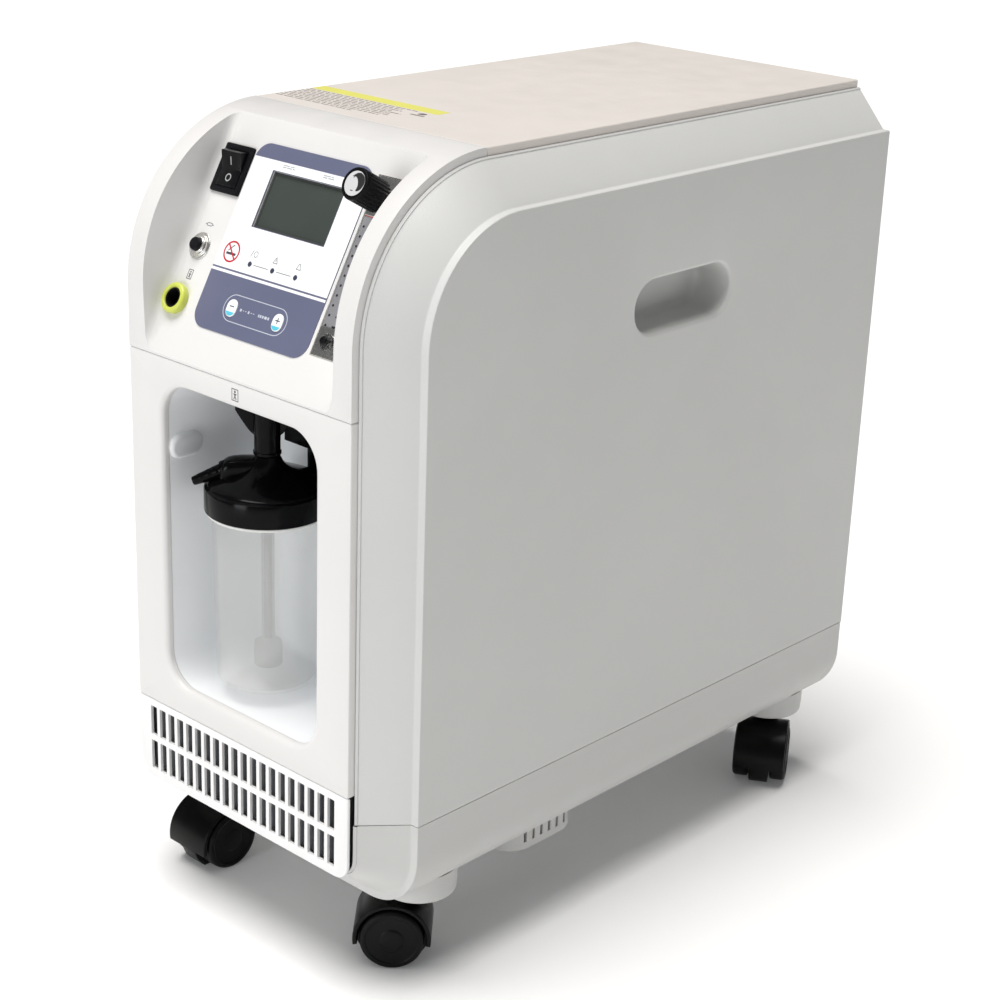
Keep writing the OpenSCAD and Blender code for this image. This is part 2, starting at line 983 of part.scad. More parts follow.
module compressor_crankcase() {
    color("silver")
    difference() {
        union() {
            translate([-comp_w / 2, comp_y - comp_l / 2, comp_z])
                cube([comp_w, comp_l, 12]);
            translate([0, comp_y + comp_l / 2 - 5, shaft_z])
                rotate([90, 0, 0])
                    cylinder(h = comp_l - 10, r = 46);
            for (s = [-1, 1])
                translate([-26, comp_y + s * 34 - 22, shaft_z])
                    cube([52, 44, 56]);
        }
        translate([0, comp_y + comp_l, shaft_z])
            rotate([90, 0, 0])
                cylinder(h = 2 * comp_l, r = 6.05);
    }
}

module compressor_heads() {
    color("lightgray")
    for (s = [-1, 1])
        translate([0, comp_y + s * 34, shaft_z + 56]) {
            translate([-28, -24, 0])
                cube([56, 48, 14]);
            for (i = [0 : 5])
                translate([-28, -22 + i * 8, 13.9])
                    cube([56, 3, 12]);
            translate([0, 0, 13.9])
                cylinder(h = 18, r = 6);
        }
}

module compressor_shaft() {
    color("dimgray") {
        translate([0, comp_y + 84, shaft_z])
            rotate([90, 0, 0])
                cylinder(h = 168, r = 6);
        for (s = [-1, 1])
            translate([0, comp_y + s * 76, shaft_z]) {
                rotate([90, 0, 0])
                    translate([0, 0, -5])
                        cylinder(h = 10, r = 12);
                for (k = [0 : 5])
                    rotate([0, k * 60, 0])
                        translate([0, -4, -1])
                            cube([42, 8, 2]);
            }
    }
}

module compressor_mounts() {
    color("black")
    for (sx = [-1, 1], sy = [-1, 1])
        translate([sx * 46, comp_y + sy * 52, deck_z + deck_t])
            cylinder(h = comp_z - deck_z - deck_t, r = 11);
}

module sieve_beds() {
    color("white")
    for (sx = [-1, 1])
        translate([sx * bed_x, bed_y, deck_z + deck_t]) {
            cylinder(h = bed_top_z - deck_z - deck_t - 14, r = bed_r - 3);
            for (z = [0, bed_top_z - deck_z - deck_t - 14])
                translate([0, 0, z])
                    cylinder(h = 14, r = bed_r);
        }
}

module product_tank() {
    color("white")
    translate([-92, 226, deck_z + deck_t]) {
        cylinder(h = 206, r = 28);
        cylinder(h = 8, r = 30);
        translate([0, 0, 206])
            cylinder(h = 10, r = 6);
    }
}

valve_z = bed_top_z + 8;

module valve_block() {
    color("silver")
    difference() {
        translate([-70, bed_y - 22, valve_z])
            cube([140, 44, 34]);
        for (x = [-bed_x, bed_x])
            translate([x, bed_y, valve_z - 1])
                cylinder(h = 12, r = 4);
    }
}

module solenoid_coils() {
    color("dimgray")
    for (i = [0 : 3])
        translate([-48 + 32 * i, bed_y, valve_z + 34]) {
            cylinder(h = 26, r = 12);
            cylinder(h = 32, r = 5);
        }
}

module cooling_fan_frame() {
    color("dimgray")
    difference() {
        union() {
            difference() {
                translate([-60, fan_y - 60, shelf_z + 2])
                    cube([120, 120, 38]);
                translate([0, fan_y, shelf_z])
                    cylinder(h = 50, r = 57, $fn = 96);
            }
            translate([0, fan_y, shelf_z + 2]) {
                cylinder(h = 5, r = 20);
                for (k = [0 : 3])
                    rotate(45 + 90 * k)
                        translate([15, -2, 0])
                            cube([44, 4, 4]);
            }
        }
        translate([0, fan_y, shelf_z])
            cylinder(h = 10, r = 3.05);
    }
}

module fan_impeller() {
    color("black")
    translate([0, fan_y, 0]) {
        translate([0, 0, shelf_z + 2.5])
            cylinder(h = 8, r = 3);
        translate([0, 0, shelf_z + 10])
            cylinder(h = 26, r = 20);
        for (k = [0 : 6])
            rotate(k * 360 / 7)
                translate([18, 0, shelf_z + 22])
                    rotate([35, 0, 0])
                        translate([0, -11, -1])
                            cube([36, 22, 2]);
    }
}

hose_r = 4;
coil_r = 48;
coil_turns = 5;
coil_pitch = 14;
coil_z = 300;

// Air-to-air cooler: five rings of tube joined by two risers
module cooling_coil() {
    color("peru") {
        for (i = [0 : coil_turns - 1])
            translate([0, fan_y, coil_z + i * coil_pitch])
                rotate_extrude($fn = 96)
                    translate([coil_r, 0])
                        circle(4, $fn = 32);
        for (a = [0, 180])
            translate([coil_r * cos(a), fan_y, coil_z])
                cylinder(h = (coil_turns - 1) * coil_pitch, r = 3.5);
    }
}

module power_board() {
    color("seagreen")
    translate([-100, 40, shelf_z + 6]) {
        cube([2, 190, 130]);
        for (p = [[20, 20, 22, 30], [60, 15, 30, 40], [120, 20, 24, 50], [30, 80, 40, 30], [110, 85, 44, 24]])
            translate([1.9, p[0], p[1]])
                cube([20, p[2], p[3]]);
    }
}

// Straight lengths of hose, and the elbow fitting between them
module hose_up(x, y, z0, z1) {
    translate([x, y, z0])
        cylinder(h = z1 - z0, r = hose_r);
}

module hose_across(x0, x1, y, z) {
    translate([x0, y, z])
        rotate([0, 90, 0])
            cylinder(h = x1 - x0, r = hose_r);
}

module hose_along(x, y0, y1, z) {
    translate([x, y1, z])
        rotate([90, 0, 0])
            cylinder(h = y1 - y0, r = hose_r);
}

module elbow(x, y, z) {
    translate([x, y, z])
        sphere(hose_r + 1.5);
}

module gas_hoses() {
    color("lightcyan") {
        // Product gas from the tank to the flow control
        hose_up(-92, 226, 322, 388);
        elbow(-92, 226, 388);
        hose_along(-92, -40, 226, 388);
        // Air from the left compressor head to the cooler
        hose_up(60, comp_y - 34, shaft_z + 80, 300);
        elbow(60, comp_y - 34, shaft_z + 80);
        hose_across(34, 60, comp_y - 34, shaft_z + 80);
        // Filtered air from the intake muffler
        hose_up(92, 226, 206, 270);
        elbow(92, 226, 270);
        hose_across(74, 92, 226, 270);
        // Waste nitrogen from the valve block to the exhaust muffler
        hose_along(94, bed_y + 25, -57, valve_z + 17);
        elbow(94, bed_y + 25, valve_z + 17);
        hose_across(75, 94, bed_y + 25, valve_z + 17);
    }
}

module intake_muffler() {
    color("dimgray")
    translate([92, 236, deck_z + deck_t]) {
        cylinder(h = 90, r = 26);
        translate([0, 0, 90])
            cylinder(h = 10, r = 8);
    }
}

module exhaust_muffler() {
    color("dimgray")
    translate([94, -22, deck_z + deck_t]) {
        cylinder(h = 70, r = 22);
        translate([0, 0, 70])
            cylinder(h = 12, r = 6);
    }
}

module cover_screws() {
    color("gray")
    for (x = rear_screw_x, z = rear_screw_z)
        translate([x, rear_y - 4, z])
            rotate([90, 0, 0]) {
                translate([0, 0, -2.4])
                    cylinder(h = 2.4, r = 4);
                translate([0, 0, -0.5])
                    cylinder(h = 9, r = 1.5);
            }
}

// ---------- castors ----------

// Places children at one castor: local +X is the direction in which it trails
module castor_frame(sx, y, trail_angle) {
    translate([sx * castor_x, y, 0])
        rotate(trail_angle)
            children();
}

module castor_fork() {
    color("black") {
        translate([0, 0, collar_z])
            cylinder(h = boss_z - 0.5 - collar_z, r = 12);
        translate([0, 0, collar_z - 12])
            cylinder(h = 13, r = web_w / 2 - 0.2);
        translate([0, 0, boss_z - 1])
            cylinder(h = 31, r = stem_r);
        translate([castor_trail, 0, wheel_r])
            rotate([90, 0, 0]) {
                difference() {
                    translate([0, 0, -fork_w / 2])
                        cylinder(h = fork_w, r = fork_r, $fn = 96);
                    for (s = [0, 1])
                        mirror([0, 0, s])
                            translate([0, 0, web_w / 2])
                                cylinder(h = fork_w, r = wheel_r + 1.6, $fn = 96);
                    translate([-40, -60, -30])
                        cube([80, 60 - 5, 21]);
                    translate([-40, -60, 9])
                        cube([80, 60 - 5, 21]);
                    translate([-40, -60, -30])
                        cube([80, 60 - 19, 60]);
                }
                translate([0, 0, -21])
                    cylinder(h = 42, r = axle_r);
            }
    }
}

module castor_wheels() {
    color("black")
    translate([castor_trail, 0, wheel_r])
        rotate([90, 0, 0])
            for (s = [0, 1])
                mirror([0, 0, s])
                    translate([0, 0, web_w / 2 + 0.6])
                        difference() {
                            union() {
                                cylinder(h = 13, r = wheel_r, $fn = 96);
                                translate([0, 0, 13])
                                    cylinder(h = 1.6, r1 = wheel_r, r2 = wheel_r - 2.5, $fn = 96);
                            }
                            translate([0, 0, -1])
                                cylinder(h = 12.5, r = axle_r + run_gap);
                        }
}

trail_fl = 270;
trail_fr = 222;
trail_rl = 250;
trail_rr = 301;

module castor_front_left() {
    castor_frame(-1, castor_front_y, trail_fl)
        castor_fork();
}

module castor_front_right() {
    castor_frame(1, castor_front_y, trail_fr)
        castor_fork();
}

module castor_rear_left() {
    castor_frame(-1, castor_rear_y, trail_rl)
        castor_fork();
}

module castor_rear_right() {
    castor_frame(1, castor_rear_y, trail_rr)
        castor_fork();
}

module wheels_front_left() {
    castor_frame(-1, castor_front_y, trail_fl)
        castor_wheels();
}

module wheels_front_right() {
    castor_frame(1, castor_front_y, trail_fr)
        castor_wheels();
}

module wheels_rear_left() {
    castor_frame(-1, castor_rear_y, trail_rl)
        castor_wheels();
}

module wheels_rear_right() {
    castor_frame(1, castor_rear_y, trail_rr)
        castor_wheels();
}

base_tray();
side_cover_left();
side_cover_right();
top_cover();
control_fascia();
lower_front_panel();
humidifier_niche();
intake_grille();
intake_filter();
rear_panel();
power_inlet();
rear_filter_cover();
exhaust_vent();
membrane_overlay();
lcd_display();
rocker_bezel();
rocker_paddle();
breaker_body();
breaker_button();
outlet_ring();
outlet_port();
minus_key();
plus_key();
flowmeter_body();
flow_scale_plate();
flow_tube();
float_ball();
flow_knob();
control_board();
humidifier_arm();
wing_nut();
humidifier_lid();
lid_seal();
humidifier_bottle();
diffuser_stem();
chassis();
compressor_crankcase();
compressor_heads();
compressor_shaft();
compressor_mounts();
sieve_beds();
product_tank();
valve_block();
solenoid_coils();
cooling_fan_frame();
fan_impeller();
cooling_coil();
power_board();
gas_hoses();
intake_muffler();
exhaust_muffler();
cover_screws();
castor_front_left();
castor_front_right();
castor_rear_left();
castor_rear_right();
wheels_front_left();
wheels_front_right();
wheels_rear_left();
wheels_rear_right();
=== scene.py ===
import json
import math
import random

import bmesh
import bpy
from mathutils import Matrix, Vector


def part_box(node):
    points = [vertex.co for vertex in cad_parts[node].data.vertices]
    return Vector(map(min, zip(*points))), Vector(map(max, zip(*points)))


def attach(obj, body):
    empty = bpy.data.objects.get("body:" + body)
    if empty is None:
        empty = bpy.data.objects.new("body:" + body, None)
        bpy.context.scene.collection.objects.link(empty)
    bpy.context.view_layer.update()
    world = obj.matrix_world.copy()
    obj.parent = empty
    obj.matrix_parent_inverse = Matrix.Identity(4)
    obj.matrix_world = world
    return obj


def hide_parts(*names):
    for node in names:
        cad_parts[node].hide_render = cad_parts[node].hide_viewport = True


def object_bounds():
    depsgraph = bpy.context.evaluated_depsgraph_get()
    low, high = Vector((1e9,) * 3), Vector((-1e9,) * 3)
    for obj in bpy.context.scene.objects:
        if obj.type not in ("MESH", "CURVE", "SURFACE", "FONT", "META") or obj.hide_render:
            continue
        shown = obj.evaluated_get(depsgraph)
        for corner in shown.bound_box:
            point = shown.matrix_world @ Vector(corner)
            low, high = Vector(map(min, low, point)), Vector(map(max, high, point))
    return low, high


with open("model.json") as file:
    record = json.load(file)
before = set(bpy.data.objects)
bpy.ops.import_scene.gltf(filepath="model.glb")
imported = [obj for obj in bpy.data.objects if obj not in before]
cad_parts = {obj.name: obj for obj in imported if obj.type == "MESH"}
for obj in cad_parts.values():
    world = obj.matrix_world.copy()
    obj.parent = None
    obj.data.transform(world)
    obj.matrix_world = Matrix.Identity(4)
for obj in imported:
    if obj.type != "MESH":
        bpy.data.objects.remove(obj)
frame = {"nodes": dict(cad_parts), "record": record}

cad_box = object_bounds()
mm = 0.001

# ---------------------------------------------------------------- viewer, lights and floor
# A viewer stands to the front and right of the cabinet and looks a little down at it. A broad
# skylight falls from above and a soft box in front fills the niche, so the right flank is lit
# only by the white floor.
viewer = bpy.data.objects.new("viewer", bpy.data.cameras.new("viewer"))
bpy.context.scene.collection.objects.link(viewer)
viewer.data.lens = 76.63
viewer.data.sensor_width = 36
viewer.data.clip_end = 30
turn, rise, lean = math.radians(42.3), math.radians(20.96), math.radians(2.09)
back = Vector((math.sin(turn) * math.cos(rise), -math.cos(turn) * math.cos(rise), math.sin(rise)))
level = (-back).cross(Vector((0, 0, 1))).normalized()
upright = level.cross(-back)
sight_x = math.cos(lean) * level + math.sin(lean) * upright
sight_y = -math.sin(lean) * level + math.cos(lean) * upright
viewer.matrix_world = Matrix.Translation((1.1055, -1.2189, 0.9248)) @ Matrix((
    (sight_x.x, sight_y.x, back.x, 0),
    (sight_x.y, sight_y.y, back.y, 0),
    (sight_x.z, sight_y.z, back.z, 0),
    (0, 0, 0, 1),
))
bpy.context.scene.camera = viewer
bpy.context.scene.view_settings.view_transform = "Standard"


def soft_box(name, place, aim, size, watts, colour):
    """A square studio light that faces a point."""
    lamp = bpy.data.lights.new(name, "AREA")
    lamp.shape = "SQUARE"
    lamp.size = size
    lamp.energy = watts
    lamp.color = colour
    box = bpy.data.objects.new(name, lamp)
    box.location = place
    box.rotation_euler = (Vector(aim) - Vector(place)).to_track_quat("-Z", "Y").to_euler()
    bpy.context.scene.collection.objects.link(box)


soft_box("front_box", (0.0, -3.1, 0.7), (0, -0.2, 0.35), 1.1, 25, (0.955, 0.982, 1.0))
skylight = bpy.data.objects.new("skylight", bpy.data.lights.new("skylight", "SUN"))
skylight.data.energy = 3.5
skylight.data.angle = math.radians(38)
skylight.data.color = (1.0, 0.98, 0.955)
skylight.rotation_euler = Vector((-0.04, -0.13, 0.75)).to_track_quat("Z", "Y").to_euler()
bpy.context.scene.collection.objects.link(skylight)

room = bpy.data.worlds.new("white_room")
bpy.context.scene.world = room
room.use_nodes = True
room.node_tree.nodes["Background"].inputs["Color"].default_value = (0.97, 0.985, 1.0, 1)
room.node_tree.nodes["Background"].inputs["Strength"].default_value = 0.14

floor_mesh = bpy.data.meshes.new("studio_floor")
floor_mesh.from_pydata([(-9, -9, 0), (9, -9, 0), (9, 9, 0), (-9, 9, 0)], [], [(0, 1, 2, 3)])
studio_floor = bpy.data.objects.new("studio_floor", floor_mesh)
bpy.context.scene.collection.objects.link(studio_floor)
floor_paint = bpy.data.materials.new("floor_paint")
floor_paint.use_nodes = True
floor_shader = floor_paint.node_tree.nodes["Principled BSDF"]
floor_shader.inputs["Base Color"].default_value = (0.88, 0.88, 0.88, 1)
floor_shader.inputs["Roughness"].default_value = 0.9
floor_shader.inputs["Specular IOR Level"].default_value = 0.1
floor_shader.inputs["Emission Color"].default_value = (1, 1, 1, 1)
floor_shader.inputs["Emission Strength"].default_value = 0.06
floor_mesh.materials.append(floor_paint)

# ---------------------------------------------------------------- side covers
# Each flank is one deep moulded cover: a flat side with a pan for the carrying hand, a flat rim
# round it, and a sloped band that runs in to the raised middle shell. The cover is 2.5 mm ABS.


def moulded(name, colour, rough=0.42, grain=0.5, pitch=0.9, tone=0.015, shine=0.5):
    """Moulded plastic: spark-etched grain, faint flow marks in its colour and uneven gloss."""
    material = bpy.data.materials.new(name)
    material.use_nodes = True
    nodes, links = material.node_tree.nodes, material.node_tree.links
    shader = nodes["Principled BSDF"]
    place = nodes.new("ShaderNodeTexCoord")
    flow = nodes.new("ShaderNodeTexNoise")
    flow.inputs["Scale"].default_value = 9
    flow.inputs["Detail"].default_value = 4
    links.new(place.outputs["Object"], flow.inputs["Vector"])
    shades = nodes.new("ShaderNodeValToRGB")
    shades.color_ramp.elements[0].position = 0.3
    shades.color_ramp.elements[1].position = 0.7
    shades.color_ramp.elements[0].color = (*[c * (1 - tone) for c in colour], 1)
    shades.color_ramp.elements[1].color = (*[min(1, c * (1 + tone)) for c in colour], 1)
    links.new(flow.outputs["Fac"], shades.inputs["Fac"])
    links.new(shades.outputs["Color"], shader.inputs["Base Color"])
    handled = nodes.new("ShaderNodeTexNoise")
    handled.inputs["Scale"].default_value = 38
    handled.inputs["Detail"].default_value = 3
    links.new(place.outputs["Object"], handled.inputs["Vector"])
    gloss = nodes.new("ShaderNodeMapRange")
    gloss.inputs["From Min"].default_value = 0.3
    gloss.inputs["From Max"].default_value = 0.7
    gloss.inputs["To Min"].default_value = max(0.02, rough - 0.05)
    gloss.inputs["To Max"].default_value = rough + 0.05
    links.new(handled.outputs["Fac"], gloss.inputs["Value"])
    links.new(gloss.outputs["Result"], shader.inputs["Roughness"])
    etch = nodes.new("ShaderNodeTexNoise")
    etch.inputs["Scale"].default_value = 1000 / pitch
    etch.inputs["Detail"].default_value = 2
    links.new(place.outputs["Object"], etch.inputs["Vector"])
    relief = nodes.new("ShaderNodeBump")
    relief.inputs["Strength"].default_value = grain
    relief.inputs["Distance"].default_value = 0.00012
    links.new(etch.outputs["Fac"], relief.inputs["Height"])
    links.new(relief.outputs["Normal"], shader.inputs["Normal"])
    shader.inputs["Specular IOR Level"].default_value = shine
    return material


# The side covers are set darker than the shell, to a grey. This is the plastic's own white with painted shade
# for flanks that face away from the lamps.
flank_white_painted_shade = moulded("flank_white_painted_shade", (0.605, 0.61, 0.60), rough=0.46, grain=0.8, pitch=1.1)


def put(name, form, finish, body, slot, *nodes, place=None, crease=34):
    """Makes the finished piece from its mesh, with smooth shading up to sharp edges."""
    if place is not None:
        form.transform(place)
    mesh = bpy.data.meshes.new(name)
    form.to_mesh(mesh)
    form.free()
    mesh.shade_smooth()
    mesh.set_sharp_from_angle(angle=math.radians(crease))
    mesh.materials.append(finish)
    piece = bpy.data.objects.new(name, mesh)
    bpy.context.scene.collection.objects.link(piece)
    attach(piece, body)
    if nodes:
        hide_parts(*nodes)
    return piece


def join_rings(form, rings, closed=False):
    """Quads between one row of points and the next; returns the rows of vertices."""
    rows = [[form.verts.new(p) for p in ring] for ring in rings]
    for lower, upper in zip(rows, rows[1:]):
        count = len(lower)
        for i in range(count if closed else count - 1):
            j = (i + 1) % count
            form.faces.new((lower[i], lower[j], upper[j], upper[i]))
    return rows


def rounded(width, height, radius, centre=(0, 0), steps=8):
    """Points round a rectangle with round corners, anticlockwise."""
    points = []
    for corner, (sx, sy) in enumerate(((1, 1), (-1, 1), (-1, -1), (1, -1))):
        for k in range(steps + 1):
            a = math.radians(90 * corner + 90 * k / steps)
            points.append((
                centre[0] + sx * (width / 2 - radius) + radius * math.cos(a),
                centre[1] + sy * (height / 2 - radius) + radius * math.sin(a),
            ))
    return points


def web(form, outer, inner):
    """Fills the flat face between an outer row of vertices and the row round a hole."""
    edges = []
    for row in (outer, inner):
        for a, b in zip(row, row[1:] + row[:1]):
            edges.append(form.edges.get((a, b)) or form.edges.new((a, b)))
    bmesh.ops.triangle_fill(form, use_beauty=True, use_dissolve=False, edges=edges)


def thicken(form, wall, outward):
    """Gives an open moulded skin its wall. outward(face) says if a face looks the right way."""
    bmesh.ops.remove_doubles(form, verts=form.verts, dist=1e-7)
    bmesh.ops.recalc_face_normals(form, faces=form.faces)
    form.normal_update()
    widest = max(form.faces, key=lambda f: f.calc_area())
    if not outward(widest):
        bmesh.ops.reverse_faces(form, faces=form.faces)
    skin = bpy.data.meshes.new("skin")
    form.to_mesh(skin)
    form.clear()
    stand = bpy.data.objects.new("skin", skin)
    bpy.context.scene.collection.objects.link(stand)
    shell = stand.modifiers.new("wall", "SOLIDIFY")
    shell.thickness = wall
    shell.offset = -1
    shell.use_even_offset = False
    depsgraph = bpy.context.evaluated_depsgraph_get()
    solid = bpy.data.meshes.new_from_object(stand.evaluated_get(depsgraph))
    form.from_mesh(solid)
    bpy.data.objects.remove(stand)
    bpy.data.meshes.remove(skin)
    bpy.data.meshes.remove(solid)
    return form


cabinet_front = cad_box[0][1] / mm
cabinet_rear = cad_box[1][1] / mm
cabinet_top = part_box("top_cover")[1][2] / mm
half_width = cad_box[1][0] / mm
tray_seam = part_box("side_cover_right")[0][2] / mm
shoulder_y, shoulder_z = cabinet_front + 125, cabinet_top - 125
rim_radius = 88
grip_y, grip_z = 25, 496


def shoulder_path(radius):
    """Up the front, round the shoulder and back along the top: (y, z, outward y, outward z)."""
    path = [(shoulder_y - radius, z, -1, 0) for z in (tray_seam + 0.25, 220, 300, 380, 450)]
    for k in range(41):
        a = math.radians(90 * k / 40)
        path.append((
            shoulder_y - radius * math.cos(a), shoulder_z + radius * math.sin(a),
            -math.cos(a), math.sin(a),
        ))
    return path + [(y, shoulder_z + radius, 0, 1) for y in (-80, 20, 120, 220, cabinet_rear)]


rim_profile = [
    (118.8, 26.5), (120.5, 27.5), (120.5, 30.3), (120.7, 30.75), (121.2, 30.6),
    (147.9, 0.75), (148.5, 0.25), (149.3, 0), (153.6, 0), (154.3, -0.1), (154.8, -0.5), (155, -1.2),
]
for side, flank in ((1, "right"), (-1, "left")):
    cover = bmesh.new()
    rings = [
        [(side * x * mm, (y + ny * out) * mm, (z + nz * out) * mm) for x, out in rim_profile]
        for y, z, ny, nz in shoulder_path(rim_radius)
    ]
    rows = join_rings(cover, rings)
    edge = [row[-1] for row in rows]
    edge.append(cover.verts.new((side * half_width * mm, cabinet_rear * mm, (tray_seam + 0.25) * mm)))
    pan = []
    for k in range(6):
        a = math.radians(18 * k)
        pan.append((3.2 * (1 - math.sin(a)), 3.2 * (1 - math.cos(a))))
    pan += [(-0.6, 16), (-1.0, 27)]
    for k in range(1, 7):
        a = math.radians(15 * k)
        pan.append((-1.0 - 7 * (1 - math.cos(a)), 27 + 7 * math.sin(a)))
    pan_rows = join_rings(cover, [
        [
            (side * (half_width - deep) * mm, y * mm, z * mm)
            for y, z in rounded(115 + 2 * grow, 42 + 2 * grow, 20.99 + grow, (grip_y, grip_z), 10)
        ]
        for grow, deep in pan
    ], closed=True)
    web(cover, edge, pan_rows[0])
    cover.faces.new(pan_rows[-1])
    thicken(cover, 2.2 * mm, lambda face: face.normal.x * side > 0)
    put("side_cover_%s_shell" % flank, cover, flank_white_painted_shade, "cabinet", "shell_white",
        "side_cover_%s" % flank)

# ---------------------------------------------------------------- base tray
# The whole machine stands in one deep tray. Its ends and flanks turn up with a 50 mm round, the
# same rim and sloped band as the covers run round its front, and four bosses take the castors.
tray_white = moulded("tray_white", (0.58, 0.58, 0.57), rough=0.44, grain=0.7, pitch=1.1)
tray_bottom, tray_round = 70, 50
tray_cx, tray_cz = half_width - tray_round, tray_bottom + tray_round


def tray_ring(y, inset):
    """The tray's open outline, from its right top edge under to its left top edge."""
    points = [(half_width - inset, tray_seam - 0.3), (half_width - inset, tray_cz + 12)]
    for k in range(17):
        a = math.radians(-90 * k / 16)
        points.append((
            tray_cx + (tray_round - inset) * math.cos(a), tray_cz + (tray_round - inset) * math.sin(a)
        ))
    points += [(x, tray_bottom + inset) for x in (70, 35)]
    points += [(-x, z) for x, z in reversed(points)]
    return [(x * mm, y * mm, z * mm) for x, z in points]


tray = bmesh.new()
nose, rim_y = cabinet_front + 5, cabinet_front + 37
stations = [
    (nose + 5, 35.2), (nose + 0.8, 34.9), (nose + 0.2, 34.6), (nose, 34.0),
    (rim_y - 0.9, 7.3), (rim_y - 0.3, 6.6), (rim_y, 5.6), (rim_y, 1.3), (rim_y + 0.12, 0.6),
    (rim_y + 0.5, 0.15), (rim_y + 1.3, 0), (-120, 0), (0, 0), (120, 0), (cabinet_rear - 1.3, 0),
    (cabinet_rear - 0.4, 0.3), (cabinet_rear, 1.2),
]
rows = join_rings(tray, [tray_ring(y, inset) for y, inset in stations])
tray.faces.new(rows[-1])
thicken(tray, 2.8 * mm, lambda face: face.normal.z < 0 or face.normal.y > 0.9)


def lathe(profile, steps=64, form=None, place=None):
    """Turns (radius, height) points in millimetres about the upright axis."""
    turned = bmesh.new()
    rings = []
    for k in range(steps):
        a = 2 * math.pi * k / steps
        rings.append([(r * math.cos(a) * mm, r * math.sin(a) * mm, z * mm) for r, z in profile])
    join_rings(turned, rings + rings[:1])
    bmesh.ops.remove_doubles(turned, verts=turned.verts, dist=1e-7)
    flat = [f for f in turned.faces if f.calc_area() < 1e-14]
    bmesh.ops.delete(turned, geom=flat, context="FACES")
    bmesh.ops.recalc_face_normals(turned, faces=turned.faces)
    if place is not None:
        turned.transform(place)
    if form is None:
        return turned
    carry = bpy.data.meshes.new("turned")
    turned.to_mesh(carry)
    form.from_mesh(carry)
    bpy.data.meshes.remove(carry)
    turned.free()
    return form


castor_posts = [(x, y) for x in (-110, 110) for y in (-203, 247)]
boss_profile = [(8, 72), (8, 62.6), (8.6, 62), (27.2, 62), (28.8, 62.3), (29.8, 63.2), (30.2, 64.6),
                (30.8, 73), (31, 84), (24, 84), (24, 72), (8, 72)]
for x, y in castor_posts:
    lathe(boss_profile, 72, tray, Matrix.Translation((x * mm, y * mm, 0)))
put("base_tray_shell", tray, tray_white, "cabinet", "shell_white", "base_tray")

# ---------------------------------------------------------------- lid
# A plain slab with softened edges closes the top behind the shoulder. It carries a printed note:
# a yellow-green stripe over lines of small print, shown here only as thin grey bars.
# The lid's warm beige is partly the plastic's own tint and partly painted warm light falling on the top.
lid_white = moulded("lid_white", (0.735, 0.69, 0.65), rough=0.48, grain=0.8, pitch=1.1)


def slab(outline, low, high, edge=0.0, foot=0.0, steps=3, form=None, place=None):
    """A flat piece with a rounded upper edge, and a lower one too if foot is given."""
    def inset(amount):
        count = len(outline)
        moved = []
        for i in range(count):
            (ax, ay), (bx, by), (cx, cy) = outline[i - 1], outline[i], outline[(i + 1) % count]
            n1 = Vector((by - ay, ax - bx)).normalized()
            n2 = Vector((cy - by, bx - cx)).normalized()
            reach = (n1 + n2) / max(0.4, 1 + n1.dot(n2))
            moved.append((bx - reach.x * amount, by - reach.y * amount))
        return moved
    levels = []
    if foot:
        levels += [(foot * (1 - math.sin(math.radians(90 * k / steps))),
                    low + foot * (1 - math.cos(math.radians(90 * k / steps)))) for k in range(steps)]
    levels.append((0, low + foot))
    levels.append((0, high - edge))
    if edge:
        levels += [(edge * (1 - math.cos(math.radians(90 * k / steps))),
                    high - edge + edge * math.sin(math.radians(90 * k / steps))) for k in range(1, steps + 1)]
    made = bmesh.new()
    rows = join_rings(made, [[(x * mm, y * mm, z * mm) for x, y in inset(d)] for d, z in levels], closed=True)
    made.faces.new(rows[-1])
    made.faces.new(list(reversed(rows[0])))
    if place is not None:
        made.transform(place)
    if form is None:
        return made
    carry = bpy.data.meshes.new("slab")
    made.to_mesh(carry)
    form.from_mesh(carry)
    bpy.data.meshes.remove(carry)
    made.free()
    return form


lid_front = shoulder_y + 0.45
lid_middle = (lid_front + cabinet_rear) / 2
lid_outline = rounded(240, cabinet_rear - lid_front, 1.6, (0, lid_middle), 5)
put("lid_slab", slab(lid_outline, cabinet_top - 7, cabinet_top, edge=1.3, foot=0.6, steps=5),
    lid_white, "cabinet", "lid_white", "top_cover")


def ink(name, colour, rough=0.5):
    """Screen-printed ink: an even colour with a faint mottle and a slightly rough surface."""
    return moulded(name, colour, rough=rough, grain=0.25, pitch=0.4, tone=0.03)


def rectangle(x0, y0, x1, y1):
    """The four corners of a rectangle, anticlockwise."""
    return [(x0, y0), (x1, y0), (x1, y1), (x0, y1)]


film = 0.08
stripe = slab(rectangle(-118.5, -106.8, 18, -93.2), 0, film)
put("lid_stripe", stripe, ink("stripe_green", (0.76, 0.74, 0.17)), "cabinet", "lid_white",
    place=Matrix.Translation((0, 0, (cabinet_top - 0.02) * mm)))
small_print = bmesh.new()
dice = random.Random(7)
for line in range(9):
    y = -109.4 - 4.4 * line
    x, stop = -117, (2, -12, -8, -14, 0, -6, -4, -10, -34)[line]
    while x < stop:
        word = dice.uniform(3.5, 11)
        slab(rectangle(x, y - 0.7, min(x + word, stop), y + 0.7), 0, film, form=small_print)
        x += word + 1.6
slab(rectangle(3, -121, 17, -118.8), 0, film, form=small_print)
slab(rounded(7, 6, 2.4, (9.6, -114), 4), 0, film, form=small_print)
put("lid_small_print", small_print, ink("print_grey", (0.20, 0.175, 0.165)), "cabinet", "lid_white",
    place=Matrix.Translation((0, 0, (cabinet_top - 0.02) * mm)))

# ---------------------------------------------------------------- control fascia
# The upper front shell bends over the shoulder. The control panel lies in a recess cut into it
# at 61 degrees, with drafted side walls and a soft foot where they meet the panel.
shell_white = moulded("shell_white", (0.735, 0.725, 0.715), rough=0.38, grain=0.5, pitch=1.1)


